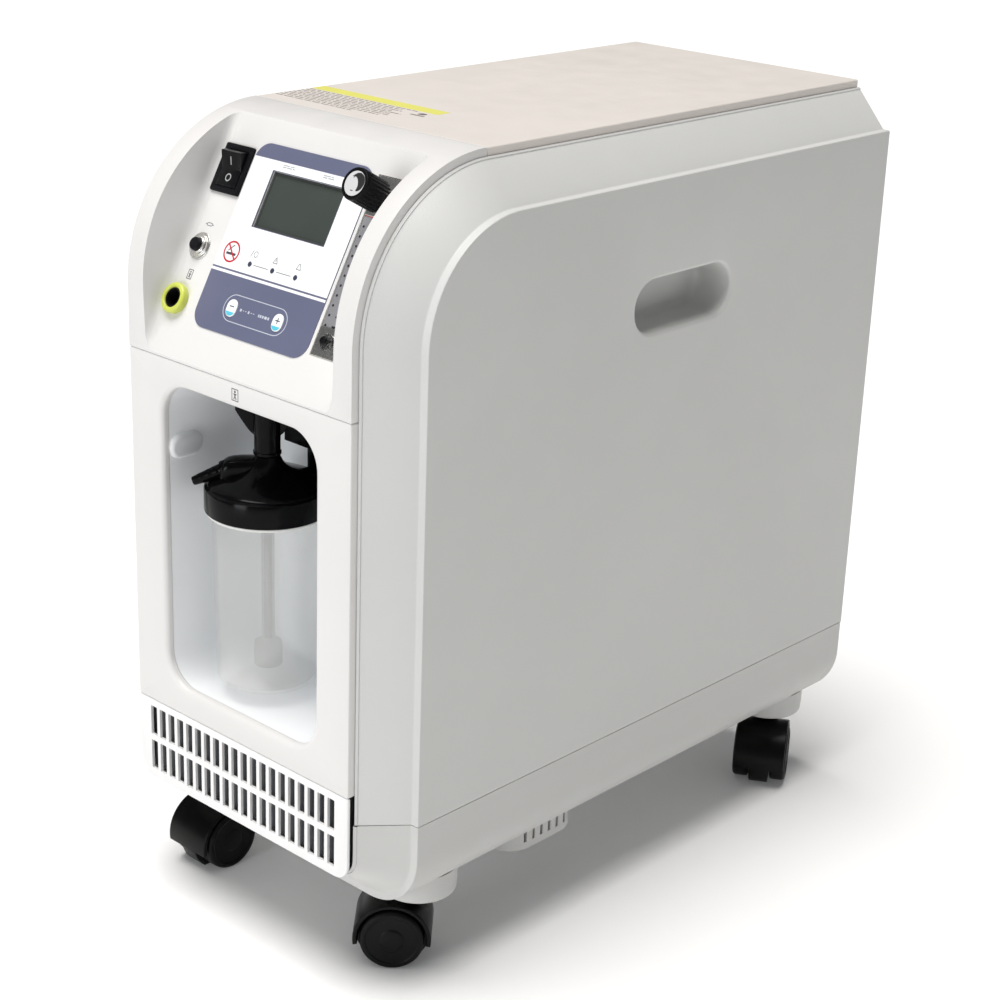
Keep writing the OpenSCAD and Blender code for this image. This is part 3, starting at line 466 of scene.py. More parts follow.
def carve(form, tools, joined=()):
    """Adds the joined solids to a solid, then cuts the tools out of it."""
    stands = []

    def stand(shape):
        mesh = bpy.data.meshes.new("tool")
        shape.to_mesh(mesh)
        shape.free()
        obj = bpy.data.objects.new("tool", mesh)
        bpy.context.scene.collection.objects.link(obj)
        stands.append(obj)
        return obj

    base = stand(form)
    for shapes, act in ((joined, "UNION"), (tools, "DIFFERENCE")):
        for shape in shapes:
            cut = base.modifiers.new("cut", "BOOLEAN")
            cut.solver = "EXACT"
            cut.operation = act
            cut.object = stand(shape)
    result = bpy.data.meshes.new_from_object(base.evaluated_get(bpy.context.evaluated_depsgraph_get()))
    carved = bmesh.new()
    carved.from_mesh(result)
    for obj in stands:
        mesh = obj.data
        bpy.data.objects.remove(obj)
        bpy.data.meshes.remove(mesh)
    bpy.data.meshes.remove(result)
    return carved


def soften(form, radius, steps=3, angle=24):
    """Rounds every edge that is sharper than the angle."""
    bmesh.ops.remove_doubles(form, verts=form.verts, dist=2e-6)
    bmesh.ops.dissolve_limit(form, angle_limit=math.radians(0.6), verts=form.verts, edges=form.edges)
    sharp = [e for e in form.edges if len(e.link_faces) == 2 and e.calc_face_angle(0) > math.radians(angle)]
    bmesh.ops.bevel(form, geom=sharp, offset=radius * mm, offset_type="OFFSET", segments=steps,
                    profile=0.5, affect="EDGES", clamp_overlap=True)
    return form


def across(outline, x0, x1):
    """A bar along x whose section is an outline of (y, z) points."""
    return slab(outline, x0, x1, place=Matrix(((0, 0, 1, 0), (1, 0, 0, 0), (0, 1, 0, 0), (0, 0, 0, 1))))


def shoulder_section(radius, foot, steps=56):
    """The solid behind the front and shoulder surface, as (y, z) points, anticlockwise."""
    points = [(shoulder_y, foot), (shoulder_y, shoulder_z + radius)]
    for k in range(1, steps + 1):
        a = math.radians(90 * k / steps)
        points.append((shoulder_y - radius * math.sin(a), shoulder_z + radius * math.cos(a)))
    return points + [(shoulder_y - radius, foot)]


knob_joint = next(j for j in frame["record"]["behaviour"]["joints"] if j["name"] == "flow_turn")
panel_out = Vector(knob_joint["axis"]).normalized()
panel_up = Vector((0, panel_out.z, -panel_out.y))
panel_foot = Vector(knob_joint["pos_m"]) - Vector((80 * mm, 0, 0)) - panel_up * 150 * mm - panel_out * 20 * mm


def on_panel(x=0.0, up=0.0, out=0.0):
    """The place on the panel from which a piece is built: its x, its way up and its way out."""
    origin = panel_foot + Vector((x * mm, 0, 0)) + panel_up * up * mm + panel_out * out * mm
    return Matrix((
        (1, panel_up.x, panel_out.x, origin.x),
        (0, panel_up.y, panel_out.y, origin.y),
        (0, panel_up.z, panel_out.z, origin.z),
        (0, 0, 0, 1),
    ))


fascia_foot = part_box("control_fascia")[0][2] / mm
core = 120
fascia = across(shoulder_section(125, fascia_foot), -core, core)
hollow = across(shoulder_section(122, fascia_foot - 5), -core + 3, core - 3)
hollow.transform(Matrix.Translation((0, 0.006, 0)))
deep_hollow = across(shoulder_section(109, fascia_foot - 6), -core - 5, core + 5)
deep_hollow.transform(Matrix.Translation((0, 0.006, 0)))
fascia = carve(fascia, [hollow, deep_hollow])

block = []
for y, z in shoulder_section(124.99, fascia_foot + 0.01):
    gap = (Vector((0, y * mm, z * mm)) - panel_foot).dot(panel_out) / mm
    if gap > -3.2:
        block.append((y, z))
for reach in (0.2, 186.5):
    spot = panel_foot + panel_up * reach * mm - panel_out * 3.2 * mm
    block.append((spot.y / mm, spot.z / mm))
middle = (sum(p[0] for p in block) / len(block), sum(p[1] for p in block) / len(block))
block.sort(key=lambda p: math.atan2(p[1] - middle[1], p[0] - middle[0]))
backing = across(block, -104.6, 104.6)

foot_round = 7.5
trough = [(105.2, 75), (-105.2, 75)]
for side in (-1, 1):
    arc = []
    for k in range(9):
        a = math.radians(90 * k / 8)
        arc.append((side * (101 - foot_round + foot_round * math.cos(a)),
                    foot_round - foot_round * math.sin(a)))
    trough += arc if side < 0 else arc[::-1]
trough_tool = slab(trough, -60, 240, place=Matrix((
    (1, 0, 0, panel_foot.x),
    (0, panel_out.y, panel_up.y, panel_foot.y),
    (0, panel_out.z, panel_up.z, panel_foot.z),
    (0, 0, 0, 1),
)))
bmesh.ops.recalc_face_normals(trough_tool, faces=trough_tool.faces)
lcd_x, lcd_up, lcd_w, lcd_h = -3, 130.3, 76, 43
window = (59.5, 34, 99, 168)
panel_holes = [
    slab(rectangle(-13.5, -16.5, 13.5, 16.5), -8, 8, place=on_panel(-82, 145.3)),
    slab(rounded(12.2, 12.2, 6.09, steps=10), -8, 8, place=on_panel(-86, 84.5)),
    slab(rounded(18.2, 18.2, 9.09, steps=12), -8, 8, place=on_panel(-88, 42)),
    slab(rectangle(-lcd_w / 2, -lcd_h / 2, lcd_w / 2, lcd_h / 2), -8, 8, place=on_panel(lcd_x, lcd_up)),
    slab(rectangle(*window), -8, 8, place=on_panel()),
]
for tool in panel_holes + [backing]:
    bmesh.ops.recalc_face_normals(tool, faces=tool.faces)
fascia = carve(fascia, [trough_tool] + panel_holes, joined=[backing])
put("control_fascia_shell", soften(fascia, 1.1, 3, 22), shell_white, "cabinet", "shell_white",
    "control_fascia", crease=30)

# ---------------------------------------------------------------- lower front panel and niche
# Below the seam a flat front panel frames the humidifier niche. Its hole has a soft lip that
# turns inwards, and a deep liner behind it forms the niche. A plugged oval eye sits in the liner.
panel_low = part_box("lower_front_panel")[0][2] / mm
panel_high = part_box("lower_front_panel")[1][2] / mm
niche_centre = (0, 193 + 245 / 2)
front_panel = bmesh.new()
returns = [(0, 9.5), (0, 1.2), (0.1, 0.7), (0.4, 0.25), (1.2, 0)]
rows = join_rings(front_panel, [
    [
        (x * mm, (cabinet_front + deep) * mm, z * mm)
        for x, z in rounded(2 * (core - less), panel_high - panel_low - 2 * less, 1.6,
                            (0, (panel_low + panel_high) / 2), 3)
    ]
    for less, deep in returns
], closed=True)
lip = [
    (4.2 * (1 - math.sin(math.radians(15 * k))), 4.2 * (1 - math.cos(math.radians(15 * k))))
    for k in range(7)
]
lip_rows = join_rings(front_panel, [
    [
        (x * mm, (cabinet_front + deep) * mm, z * mm)
        for x, z in rounded(168 + 2 * grow, 245 + 2 * grow, 27 + grow, niche_centre, 12)
    ]
    for grow, deep in lip + [(0, 6.5)]
], closed=True)
web(front_panel, rows[-1], lip_rows[0])
thicken(front_panel, 2.2 * mm, lambda face: face.normal.y < 0)
put("lower_front_shell", front_panel, shell_white, "cabinet", "shell_white", "lower_front_panel")

niche_white = moulded("niche_white", (0.88, 0.895, 0.91), rough=0.34, grain=0.35, pitch=1.1)
# A trace of glow stands for the fill light that two lamps cannot bring into the niche.
fill = niche_white.node_tree.nodes["Principled BSDF"]
fill.inputs["Emission Color"].default_value = (0.9, 0.95, 1.0, 1)
fill.inputs["Emission Strength"].default_value = 0.03
liner = bmesh.new()
niche_rings = [(0.15, 7), (-0.3, 40), (-0.9, 80), (-1.2, 103)]
for k in range(1, 7):
    a = math.radians(15 * k)
    niche_rings.append((-1.2 - 8 * (1 - math.cos(a)), 103 + 8 * math.sin(a)))
rows = join_rings(liner, [
    [
        (x * mm, (cabinet_front + deep) * mm, z * mm)
        for x, z in rounded(168 + 2 * grow, 245 + 2 * grow, 27 + grow, niche_centre, 12)
    ]
    for grow, deep in niche_rings
], closed=True)
liner.faces.new(rows[-1])
thicken(liner, 2.0 * mm, lambda face: face.normal.y < 0)
put("niche_liner", liner, niche_white, "cabinet", "niche_white", "humidifier_niche")

eye_turn = Matrix(((0, 0, 1, -0.0842), (1, 0, 0, 0), (0, 1, 0, 0), (0, 0, 0, 1)))
eye = slab(rounded(31, 19, 9.4, (cabinet_front + 22, 384), 10), 0, 4.0, edge=3.2, steps=6, place=eye_turn)
put("niche_eye_plug", eye, moulded("plug_white", (0.76, 0.77, 0.79), rough=0.3), "cabinet", "niche_white")

mark = bmesh.new()
mark_turn = Matrix(((1, 0, 0, 0), (0, 0, -1, (cabinet_front - 0.01) * mm), (0, 1, 0, 0), (0, 0, 0, 1)))
for frame_bar in (rectangle(-3.6, 443.4, 3.6, 444.0), rectangle(-3.6, 452, 3.6, 452.6),
                  rectangle(-3.6, 443.4, -3.0, 452.6), rectangle(3.0, 443.4, 3.6, 452.6)):
    slab(frame_bar, 0, film, form=mark, place=mark_turn)
slab(rounded(1.9, 1.9, 0.94, (0, 450.4), 4), 0, film, form=mark, place=mark_turn)
slab([(-1.9, 448.9), (-0.5, 447.4), (-1.7, 444.6), (-0.8, 444.6), (0, 446.6), (0.8, 444.6), (1.7, 444.6),
      (0.5, 447.4), (1.9, 448.9), (0, 449.0)], 0, film, form=mark, place=mark_turn)
put("niche_mark", mark, ink("mark_grey", (0.10, 0.10, 0.11)), "cabinet", "shell_white")

# ---------------------------------------------------------------- intake grille
# A flat plate with two rows of twenty upright slots closes the foot of the front. Room air is
# drawn through it, and the grey foam sheet of the coarse filter shows behind the slots.
grille_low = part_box("intake_grille")[0][2] / mm
grille_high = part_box("intake_grille")[1][2] / mm
grille_mid = (grille_low + grille_high) / 2
facing = Matrix(((1, 0, 0, 0), (0, 0, -1, 0), (0, 1, 0, 0), (0, 0, 0, 1)))
grille_outline = []
for corner, (sx, sz, r) in enumerate(((1, 1, 1.2), (-1, 1, 1.2), (-1, -1, 14), (1, -1, 14))):
    for k in range(9):
        a = math.radians(90 * corner + 90 * k / 8)
        grille_outline.append((
            sx * (core - r) + r * math.cos(a),
            grille_mid + sz * ((grille_high - grille_low) / 2 - r) + r * math.sin(a),
        ))
grille = slab(grille_outline, -cabinet_front - 2.4, -cabinet_front, edge=1.0, place=facing)
slots = []
for row in (122.5, 152.5):
    for i in range(20):
        slots.append(slab(rounded(7.4, 25, 0.6, ((i - 9.5) * 10.77, row), 2), -cabinet_front - 9,
                          -cabinet_front + 3, place=facing))
tool = bmesh.new()
for slot_tool in slots:
    carry = bpy.data.meshes.new("slot")
    slot_tool.to_mesh(carry)
    slot_tool.free()
    tool.from_mesh(carry)
    bpy.data.meshes.remove(carry)
for shape in (grille, tool):
    bmesh.ops.recalc_face_normals(shape, faces=shape.faces)
grille = carve(grille, [tool])
grille_white = moulded("grille_white", (0.85, 0.85, 0.85), rough=0.4, grain=0.5, pitch=1.0)
put("intake_grille_plate", grille, grille_white, "cabinet", "grille_white", "intake_grille")

# The foam is set darker than its own grey. The extra dark is painted shade for the space behind the grille
# slots.
foam = moulded("filter_foam_painted_shade", (0.085, 0.088, 0.095), rough=0.95, grain=1.0, pitch=1.6, tone=0.35, shine=0.1)
frame["nodes"]["intake_filter"].data.materials.clear()
frame["nodes"]["intake_filter"].data.materials.append(foam)

# ---------------------------------------------------------------- rear panel and its fittings
# The back is a flat panel set 4 mm into the covers and held by six screws. It has a row of
# cooling slots, a clip-in cover over the fine filter, and the socket for the mains lead.


def from_node(node, radius, steps=2, angle=28):
    """A copy of a part's own solid with its edges rounded."""
    form = bmesh.new()
    form.from_mesh(frame["nodes"][node].data)
    return soften(form, radius, steps, angle)


rear_white = moulded("rear_white", (0.80, 0.80, 0.79), rough=0.5, grain=0.9, pitch=1.2)
put("rear_panel_sheet", from_node("rear_panel", 0.5), rear_white, "cabinet", "shell_white", "rear_panel")
put("rear_filter_louvre", from_node("rear_filter_cover", 0.7, 3), grille_white, "cabinet", "grille_white",
    "rear_filter_cover")
socket_black = moulded("socket_black", (0.006, 0.006, 0.007), rough=0.45, grain=0.4, pitch=0.7, tone=0.1,
                       shine=0.2)
put("power_inlet_socket", from_node("power_inlet", 0.5), socket_black, "cabinet", "black_plastic",
    "power_inlet")


def metal(name, colour, rough, brushed=0.0, grain=0.1):
    """Plated or cast metal with fine scratches in its gloss."""
    material = bpy.data.materials.new(name)
    material.use_nodes = True
    nodes, links = material.node_tree.nodes, material.node_tree.links
    shader = nodes["Principled BSDF"]
    shader.inputs["Metallic"].default_value = 1
    place = nodes.new("ShaderNodeTexCoord")
    stretch = nodes.new("ShaderNodeMapping")
    stretch.inputs["Scale"].default_value = (1, 1, 1 + 14 * brushed)
    links.new(place.outputs["Object"], stretch.inputs["Vector"])
    wear = nodes.new("ShaderNodeTexNoise")
    wear.inputs["Scale"].default_value = 420
    wear.inputs["Detail"].default_value = 5
    links.new(stretch.outputs["Vector"], wear.inputs["Vector"])
    tint = nodes.new("ShaderNodeValToRGB")
    tint.color_ramp.elements[0].color = (*[c * 0.88 for c in colour], 1)
    tint.color_ramp.elements[1].color = (*colour, 1)
    links.new(wear.outputs["Fac"], tint.inputs["Fac"])
    links.new(tint.outputs["Color"], shader.inputs["Base Color"])
    gloss = nodes.new("ShaderNodeMapRange")
    gloss.inputs["To Min"].default_value = max(0.03, rough - 0.08)
    gloss.inputs["To Max"].default_value = rough + 0.12
    links.new(wear.outputs["Fac"], gloss.inputs["Value"])
    links.new(gloss.outputs["Result"], shader.inputs["Roughness"])
    relief = nodes.new("ShaderNodeBump")
    relief.inputs["Strength"].default_value = grain
    relief.inputs["Distance"].default_value = 0.0001
    links.new(wear.outputs["Fac"], relief.inputs["Height"])
    links.new(relief.outputs["Normal"], shader.inputs["Normal"])
    return material


screw_steel = metal("screw_steel", (0.62, 0.62, 0.63), 0.3)
screws = bmesh.new()
for x in (-135, 0, 135):
    for z in (165, 575):
        seat = Matrix(((1, 0, 0, x * mm), (0, 0, 1, (cabinet_rear - 4) * mm), (0, -1, 0, z * mm),
                       (0, 0, 0, 1)))
        head = lathe([(0, 0), (3.9, 0), (4, 0.4), (3.6, 1.5), (2.2, 2.2), (0, 2.4)], 32)
        cross = slab(rectangle(-2.2, -0.45, 2.2, 0.45), 1.2, 4)
        slab(rectangle(-0.45, -2.2, 0.45, 2.2), 1.2, 4, form=cross)
        head = carve(head, [cross])
        head.transform(seat)
        carry = bpy.data.meshes.new("screw")
        head.to_mesh(carry)
        screws.from_mesh(carry)
        head.free()
        bpy.data.meshes.remove(carry)
put("rear_screw_heads", screws, screw_steel, "cabinet", "shaft_steel", "cover_screws")

# ---------------------------------------------------------------- exhaust vent
# A shallow round-cornered cup under the right of the tray lets the waste nitrogen out through
# six short upright slots in its outer wall.
put("exhaust_vent_cup", from_node("exhaust_vent", 1.2, 3), tray_white, "cabinet", "shell_white",
    "exhaust_vent")

# ---------------------------------------------------------------- keypad overlay and display
# A printed polyester overlay covers the keypad: a slate-blue band at its head and foot, a white
# middle, a display window, three lamps and the printed ring round the two timer keys.
slate = ink("overlay_slate", (0.125, 0.134, 0.212), rough=0.4)
ink_white = ink("overlay_white", (0.90, 0.905, 0.91), rough=0.34)
ink_grey = ink("overlay_grey", (0.13, 0.135, 0.155), rough=0.4)
overlay_mid = (-4.2, 99.5)
lcd_tool = slab(rectangle(lcd_x - lcd_w / 2, lcd_up - lcd_h / 2, lcd_x + lcd_w / 2, lcd_up + lcd_h / 2),
                -3, 3, place=on_panel())
overlay = slab(rounded(122, 143, 13, overlay_mid, 12), 0.02, 0.7, edge=0.35, place=on_panel())
for shape in (overlay, lcd_tool):
    bmesh.ops.recalc_face_normals(shape, faces=shape.faces)
overlay = carve(overlay, [lcd_tool])
put("keypad_overlay", overlay, slate, "cabinet", "overlay_blue", "membrane_overlay")

white_field = slab(rectangle(-64.9, 74.6, 56.5, 159.6), 0.68, 0.74, place=on_panel())
slab(rectangle(-64.9, 71.2, 56.5, 73.2), 0.68, 0.74, form=white_field, place=on_panel())
lcd_tool = slab(rectangle(lcd_x - lcd_w / 2 - 0.5, lcd_up - lcd_h / 2 - 0.5, lcd_x + lcd_w / 2 + 0.5,
                          lcd_up + lcd_h / 2 + 0.5), -3, 3, place=on_panel())
for shape in (white_field, lcd_tool):
    bmesh.ops.recalc_face_normals(shape, faces=shape.faces)
white_field = carve(white_field, [lcd_tool])
put("overlay_white_field", white_field, ink_white, "cabinet", "overlay_blue")


def stroke(points, width, closed=False):
    """A printed line along some points, as one quad outline for each stretch of it."""
    shapes = []
    ends = list(zip(points, points[1:] + points[:1])) if closed else list(zip(points, points[1:]))
    for (ax, ay), (bx, by) in ends:
        along = Vector((bx - ax, by - ay)).normalized() * width * 0.5
        side = Vector((-along.y, along.x))
        shapes.append([
            (ax - along.x * 0.6 - side.x, ay - along.y * 0.6 - side.y),
            (bx + along.x * 0.6 - side.x, by + along.y * 0.6 - side.y),
            (bx + along.x * 0.6 + side.x, by + along.y * 0.6 + side.y),
            (ax - along.x * 0.6 + side.x, ay - along.y * 0.6 + side.y),
        ])
    return shapes


def ring_band(outer, inner):
    """A closed band between two outlines with the same number of points."""
    count = len(outer)
    return [[outer[i], outer[(i + 1) % count], inner[(i + 1) % count], inner[i]] for i in range(count)]


def printed(name, shapes, finish, low, slot, body="cabinet", place=None, thick=film):
    """A thin printed layer made of flat outlines on the panel."""
    form = bmesh.new()
    for outline in shapes:
        slab(outline, low, low + thick, form=form)
    bmesh.ops.remove_doubles(form, verts=form.verts, dist=1e-7)
    return put(name, form, finish, body, slot, place=on_panel() if place is None else place)


def disc(x, y, r, steps=6):
    """Points round a circle."""
    return rounded(2 * r, 2 * r, r * 0.999, (x, y), steps)


lamp_x, lamp_up = (-28.5, -4.3, 20), 82
grey_marks = stroke([(-24.3, lamp_up), (-9.3, lamp_up)], 0.5) + stroke([(0, lamp_up), (15, lamp_up)], 0.5)
grey_marks += stroke([(-30.6, 87.6), (-29.2, 92.2)], 0.5)
grey_marks += ring_band(rounded(4.2, 4.6, 2.05, (-25.9, 89.9), 5), rounded(3.3, 3.7, 1.6, (-25.9, 89.9), 5))
grey_marks += (stroke([(-6.6, 87.6), (-2.2, 87.6), (-4.4, 92)], 0.5, closed=True)
               + stroke([(-4.4, 89), (-4.4, 90.4)], 0.4))
grey_marks += stroke([(17.6, 88), (22.2, 88), (21.2, 89.6), (21, 91.2), (19.9, 92.2), (18.8, 91.2),
                      (18.6, 89.6)],
                     0.45, closed=True)
printed("overlay_grey_marks", grey_marks, ink_grey, 0.72, "overlay_blue")
faint = [rectangle(x, 155.6, x + w, 156.4) for x,
         w in ((-33, 3.6), (-28.6, 5.2), (-22.6, 2.2), (9.5, 4.4), (14.8, 6))]
faint += [rectangle(x, 157.1, x + w, 157.8) for x, w in ((-33, 6.4), (-25.6, 4.4), (9.5, 7.2), (17.5, 2.6))]
printed("overlay_faint_print", faint, ink("print_faint", (0.42, 0.43, 0.46)), 0.72, "overlay_blue")

lamp_glass = moulded("lamp_lens", (0.045, 0.052, 0.09), rough=0.2, grain=0.1, shine=0.3)
for number, x in enumerate(lamp_x):
    lens = lathe([(0, 0.4), (2.0, 0.4), (2.05, 0.8), (1.7, 1.1), (1.0, 1.25), (0, 1.3)], 32,
                 place=on_panel(x, lamp_up))
    put("lamp_lens_%d" % (number + 1), lens, lamp_glass, "cabinet", "overlay_blue")

roundel = (-51, 87)
ban = ring_band(disc(*roundel, 8.2, 12), disc(*roundel, 6.9, 12))
ban += stroke([(roundel[0] - 4.6, roundel[1] + 4.6), (roundel[0] + 4.6, roundel[1] - 4.6)], 1.2)
printed("overlay_red_ring", ban, ink("ring_red", (0.52, 0.008, 0.03)), 0.80, "overlay_blue")
rod = stroke([(roundel[0] - 4.6, roundel[1] - 1.6), (roundel[0] + 4.4, roundel[1] - 1.6)], 1.8)
rod += stroke([(roundel[0] - 3.8, roundel[1] + 0.4), (roundel[0] - 1.8, roundel[1] + 2.6),
               (roundel[0] + 0.8, roundel[1] + 5)], 0.8)
printed("overlay_dark_marks", rod, ink("ring_dark", (0.05, 0.05, 0.06)), 0.72, "overlay_blue")

pill_outer = rounded(67, 20.5, 10.2, (-4.5, 48.3), 10)
pill_inner = rounded(65.8, 19.3, 9.6, (-4.5, 48.3), 10)
pale = ring_band(pill_outer, pill_inner)
pale += [rectangle(x, 47.6, x + w, 49.6) for x,
         w in ((-20.5, 1.8), (-12, 1.6), (-1, 1.2), (0.8, 1.6), (3.2, 1.6), (5.6, 2.6), (9, 1.6))]
pale += [rectangle(x, 48.4, x + w, 48.9) for x, w in ((-17.5, 1.4), (-15, 1.4), (-9, 1.4), (-6.5, 1.4))]
printed("overlay_pale_marks", pale, ink("mark_pale", (0.52, 0.55, 0.62)), 0.70, "overlay_blue")

panel_icons = ring_band(rounded(6.2, 2.6, 1.25, (-84.6, 101.7), 5),
                        rounded(5.2, 1.6, 0.78, (-84.6, 101.7), 5))
panel_icons += [rectangle(-89, 101.4, -87.4, 102.0), rectangle(-81.8, 101.4, -80.2, 102.0)]
panel_icons += ring_band(rectangle(-87.6, 58.6, -82.4, 66.2), rectangle(-87.0, 59.2, -83.0, 65.6))
panel_icons += [disc(-85, 64.2, 0.75, 3), [(-86.6, 62.9), (-85.5, 61.7), (-86.2, 59.8), (-85.4, 59.8),
                                           (-85, 61.2),
                                          (-84.6, 59.8), (-83.8, 59.8), (-84.5, 61.7), (-83.4, 62.9),
                                          (-85, 63)]]
printed("panel_icons", panel_icons, ink_grey, -0.01, "shell_white")

lcd = moulded("lcd_polariser", (0.052, 0.062, 0.055), rough=0.38, grain=0.05, tone=0.14, shine=0.25)
glass_pane = slab(rounded(lcd_w - 0.5, lcd_h - 0.5, 0.4, (lcd_x, lcd_up), 3), -4.5, -1.7, edge=0.3,
                  place=on_panel())
put("lcd_pane", glass_pane, lcd, "cabinet", "lcd_grey", "lcd_display")
rim_outer = rounded(lcd_w - 0.1, lcd_h - 0.1, 0.4, (lcd_x, lcd_up), 3)
rim_inner = rounded(lcd_w - 3.2, lcd_h - 3.2, 0.4, (lcd_x, lcd_up), 3)
printed("lcd_inner_frame", ring_band(rim_outer, rim_inner),
        moulded("lcd_frame", (0.05, 0.055, 0.055), rough=0.5),
        -1.72, "lcd_grey", thick=0.5)

# ---------------------------------------------------------------- rocker switch
# The mains switch is a black rocker in a snap-in bezel. Its two faces meet at a shallow angle: the
# upper end, marked with a bar, stands proud while the lower end, with a ring, lies flush.
bezel_black = moulded("bezel_black", (0.004, 0.004, 0.006), rough=0.5, grain=0.6, pitch=0.6, tone=0.1,
                      shine=0.15)
paddle_black = moulded("paddle_black", (0.005, 0.005, 0.006), rough=0.3, grain=0.2, pitch=0.6, tone=0.1,
                       shine=0.2)
put("rocker_bezel_frame", from_node("rocker_bezel", 0.4, 2), bezel_black, "cabinet", "black_plastic",
    "rocker_bezel")
put("rocker_cap", from_node("rocker_paddle", 0.5, 3), paddle_black, "rocker", "rocker_black", "rocker_paddle")
cap_tilt, cap_slope, cap_waist = math.radians(15), math.tan(math.radians(16)), 2.6


def on_cap(x, along):
    """A point just over the two tilted faces of the rocker."""
    lift = cap_waist + abs(along) * cap_slope + 0.04
    up = along * math.cos(cap_tilt) - lift * math.sin(cap_tilt)
    out = along * math.sin(cap_tilt) + lift * math.cos(cap_tilt)
    return on_panel(-82, 145.3, -0.2) @ Vector((x * mm, up * mm, out * mm))


cap_marks = bmesh.new()
for outline in stroke([(0, 3.6), (0, 9.0)], 1.0) + ring_band(disc(0, -6.0, 2.9, 8), disc(0, -6.0, 2.1, 8)):
    cap_marks.faces.new([cap_marks.verts.new(on_cap(x, y)) for x, y in outline])
bmesh.ops.remove_doubles(cap_marks, verts=cap_marks.verts, dist=1e-7)
bmesh.ops.recalc_face_normals(cap_marks, faces=cap_marks.faces)
put("rocker_marks", cap_marks, ink("rocker_white", (0.42, 0.43, 0.44)), "rocker", "rocker_black")

# ---------------------------------------------------------------- circuit breaker
# Above the outlet a small push-to-reset breaker stands in a nickel-plated bush with a ring nut.
nickel = metal("nickel_plate", (0.80, 0.79, 0.765), 0.24)
put("breaker_bush", from_node("breaker_body", 0.35, 2), nickel, "cabinet", "chrome", "breaker_body")
put("breaker_cap", from_node("breaker_button", 0.6, 3), bezel_black, "breaker", "black_plastic",
    "breaker_button")

# ---------------------------------------------------------------- oxygen outlet
# Oxygen leaves through a black socket at the lower left of the panel. A soft yellow-green ring
# marks it and fills the gap round it.
ring_profile = [(9.2, 0.02), (11.2, 0.02)]
for k in range(13):
    a = math.radians(-10 + 100 * k / 12)
    ring_profile.append((9.5 + 2.3 * math.cos(a), 3.7 + 2.3 * math.sin(a)))
ring_profile += [(8.6, 5.9), (7.9, 5.4), (7.6, 4.6), (7.6, 3.1), (9.2, 3.1), (9.2, 0.02)]
outlet_green = moulded("outlet_green", (0.57, 0.63, 0.10), rough=0.3, grain=0.2, pitch=0.8, tone=0.04)
put("outlet_ring_collar", lathe(ring_profile, 64, place=on_panel(-88, 42)), outlet_green, "cabinet",
    "outlet_green",
    "outlet_ring")
port_profile = [(3.2, -34), (3.2, -20), (8.9, -20), (8.9, 2.9), (7.45, 2.9), (7.45, 4.6), (7.0, 5.2),
                (6.7, 5.2),
                (6.35, 4.7), (6.35, -13), (5.4, -13.8), (1.7, -13.8), (1.7, -34), (3.2, -34)]
put("outlet_socket", lathe(port_profile, 64, place=on_panel(-88, 42)), socket_black, "cabinet",
    "black_plastic",
    "outlet_port")

# ---------------------------------------------------------------- timer keys
# Two small oval keys, minus and plus, sit in the printed ring. Their caps are white with a blue
# lower third, and each has half a millimetre of travel.
key_white = moulded("key_white", (0.88, 0.89, 0.90), rough=0.25, grain=0.15, pitch=0.7)
key_blue = ink("key_blue", (0.10, 0.52, 0.66))
for body, x in (("minus_button", -29), ("plus_button", 20.2)):
    word = body.split("_")[0]
    cap = slab(rounded(10.4, 13.2, 5.15, steps=10), 0.75, 1.55, edge=0.45, steps=4, place=on_panel(x, 48))
    lathe([(0, -2.3), (2.4, -2.3), (2.4, 0.9), (0, 0.9)], 24, cap, on_panel(x, 48))
    put("%s_cap" % word, cap, key_white, body, "key_white", "%s_key" % word)
    low = [p for p in rounded(9.2, 12, 4.55, steps=10) if p[1] < -2.4]
    low.sort(key=lambda p: math.atan2(p[1] + 3.5, p[0]))
    printed("%s_blue_foot" % word, [low], key_blue, 1.54, "key_white", body, on_panel(x, 48), 0.05)
    sign = stroke([(-2.1, 1.2), (2.1, 1.2)], 0.8)
    if word == "plus":
        sign += stroke([(0, -0.9), (0, 3.3)], 0.8)
    printed("%s_sign" % word, sign, ink("sign_%s" % word, (0.05, 0.06, 0.09)),
            1.54, "key_white", body, on_panel(x, 48), 0.05)

# ---------------------------------------------------------------- flowmeter
# The flow is read on a clear tube with a red ball in front of a grey scale, between two plated
# end blocks. A knurled knob on the upper block turns the needle valve.
tube_x = 80
put("flowmeter_blocks", from_node("flowmeter_body", 0.6, 3), nickel, "cabinet", "chrome", "flowmeter_body")
scale_grey = moulded("scale_grey", (0.235, 0.235, 0.25), rough=0.45, grain=0.3, pitch=0.6)
put("flow_scale", from_node("flow_scale_plate", 0.25), scale_grey, "cabinet", "scale_grey",
    "flow_scale_plate")
face = -1.2
dots = [disc(62.8, 57 + 7.3 * i, 0.95, 4) for i in range(11)]
dots += [disc(70.6, 57 + 7.3 * i, 0.95, 4) for i in (2, 3, 4, 5, 7, 8, 9, 10)]
dots += [rectangle(69.2, 57 + 7.3 * i - 0.7, 72.8, 57 + 7.3 * i + 0.7) for i in (0, 1)]
printed("flow_scale_dots", dots, ink("dot_black", (0.01, 0.01, 0.012)), face - 0.01, "scale_grey")
printed("flow_scale_red_line", [rectangle(60.4, 137.6, 74.4, 143.4)], ink("line_red", (0.72, 0.015, 0.02)),
        face - 0.01, "scale_grey")


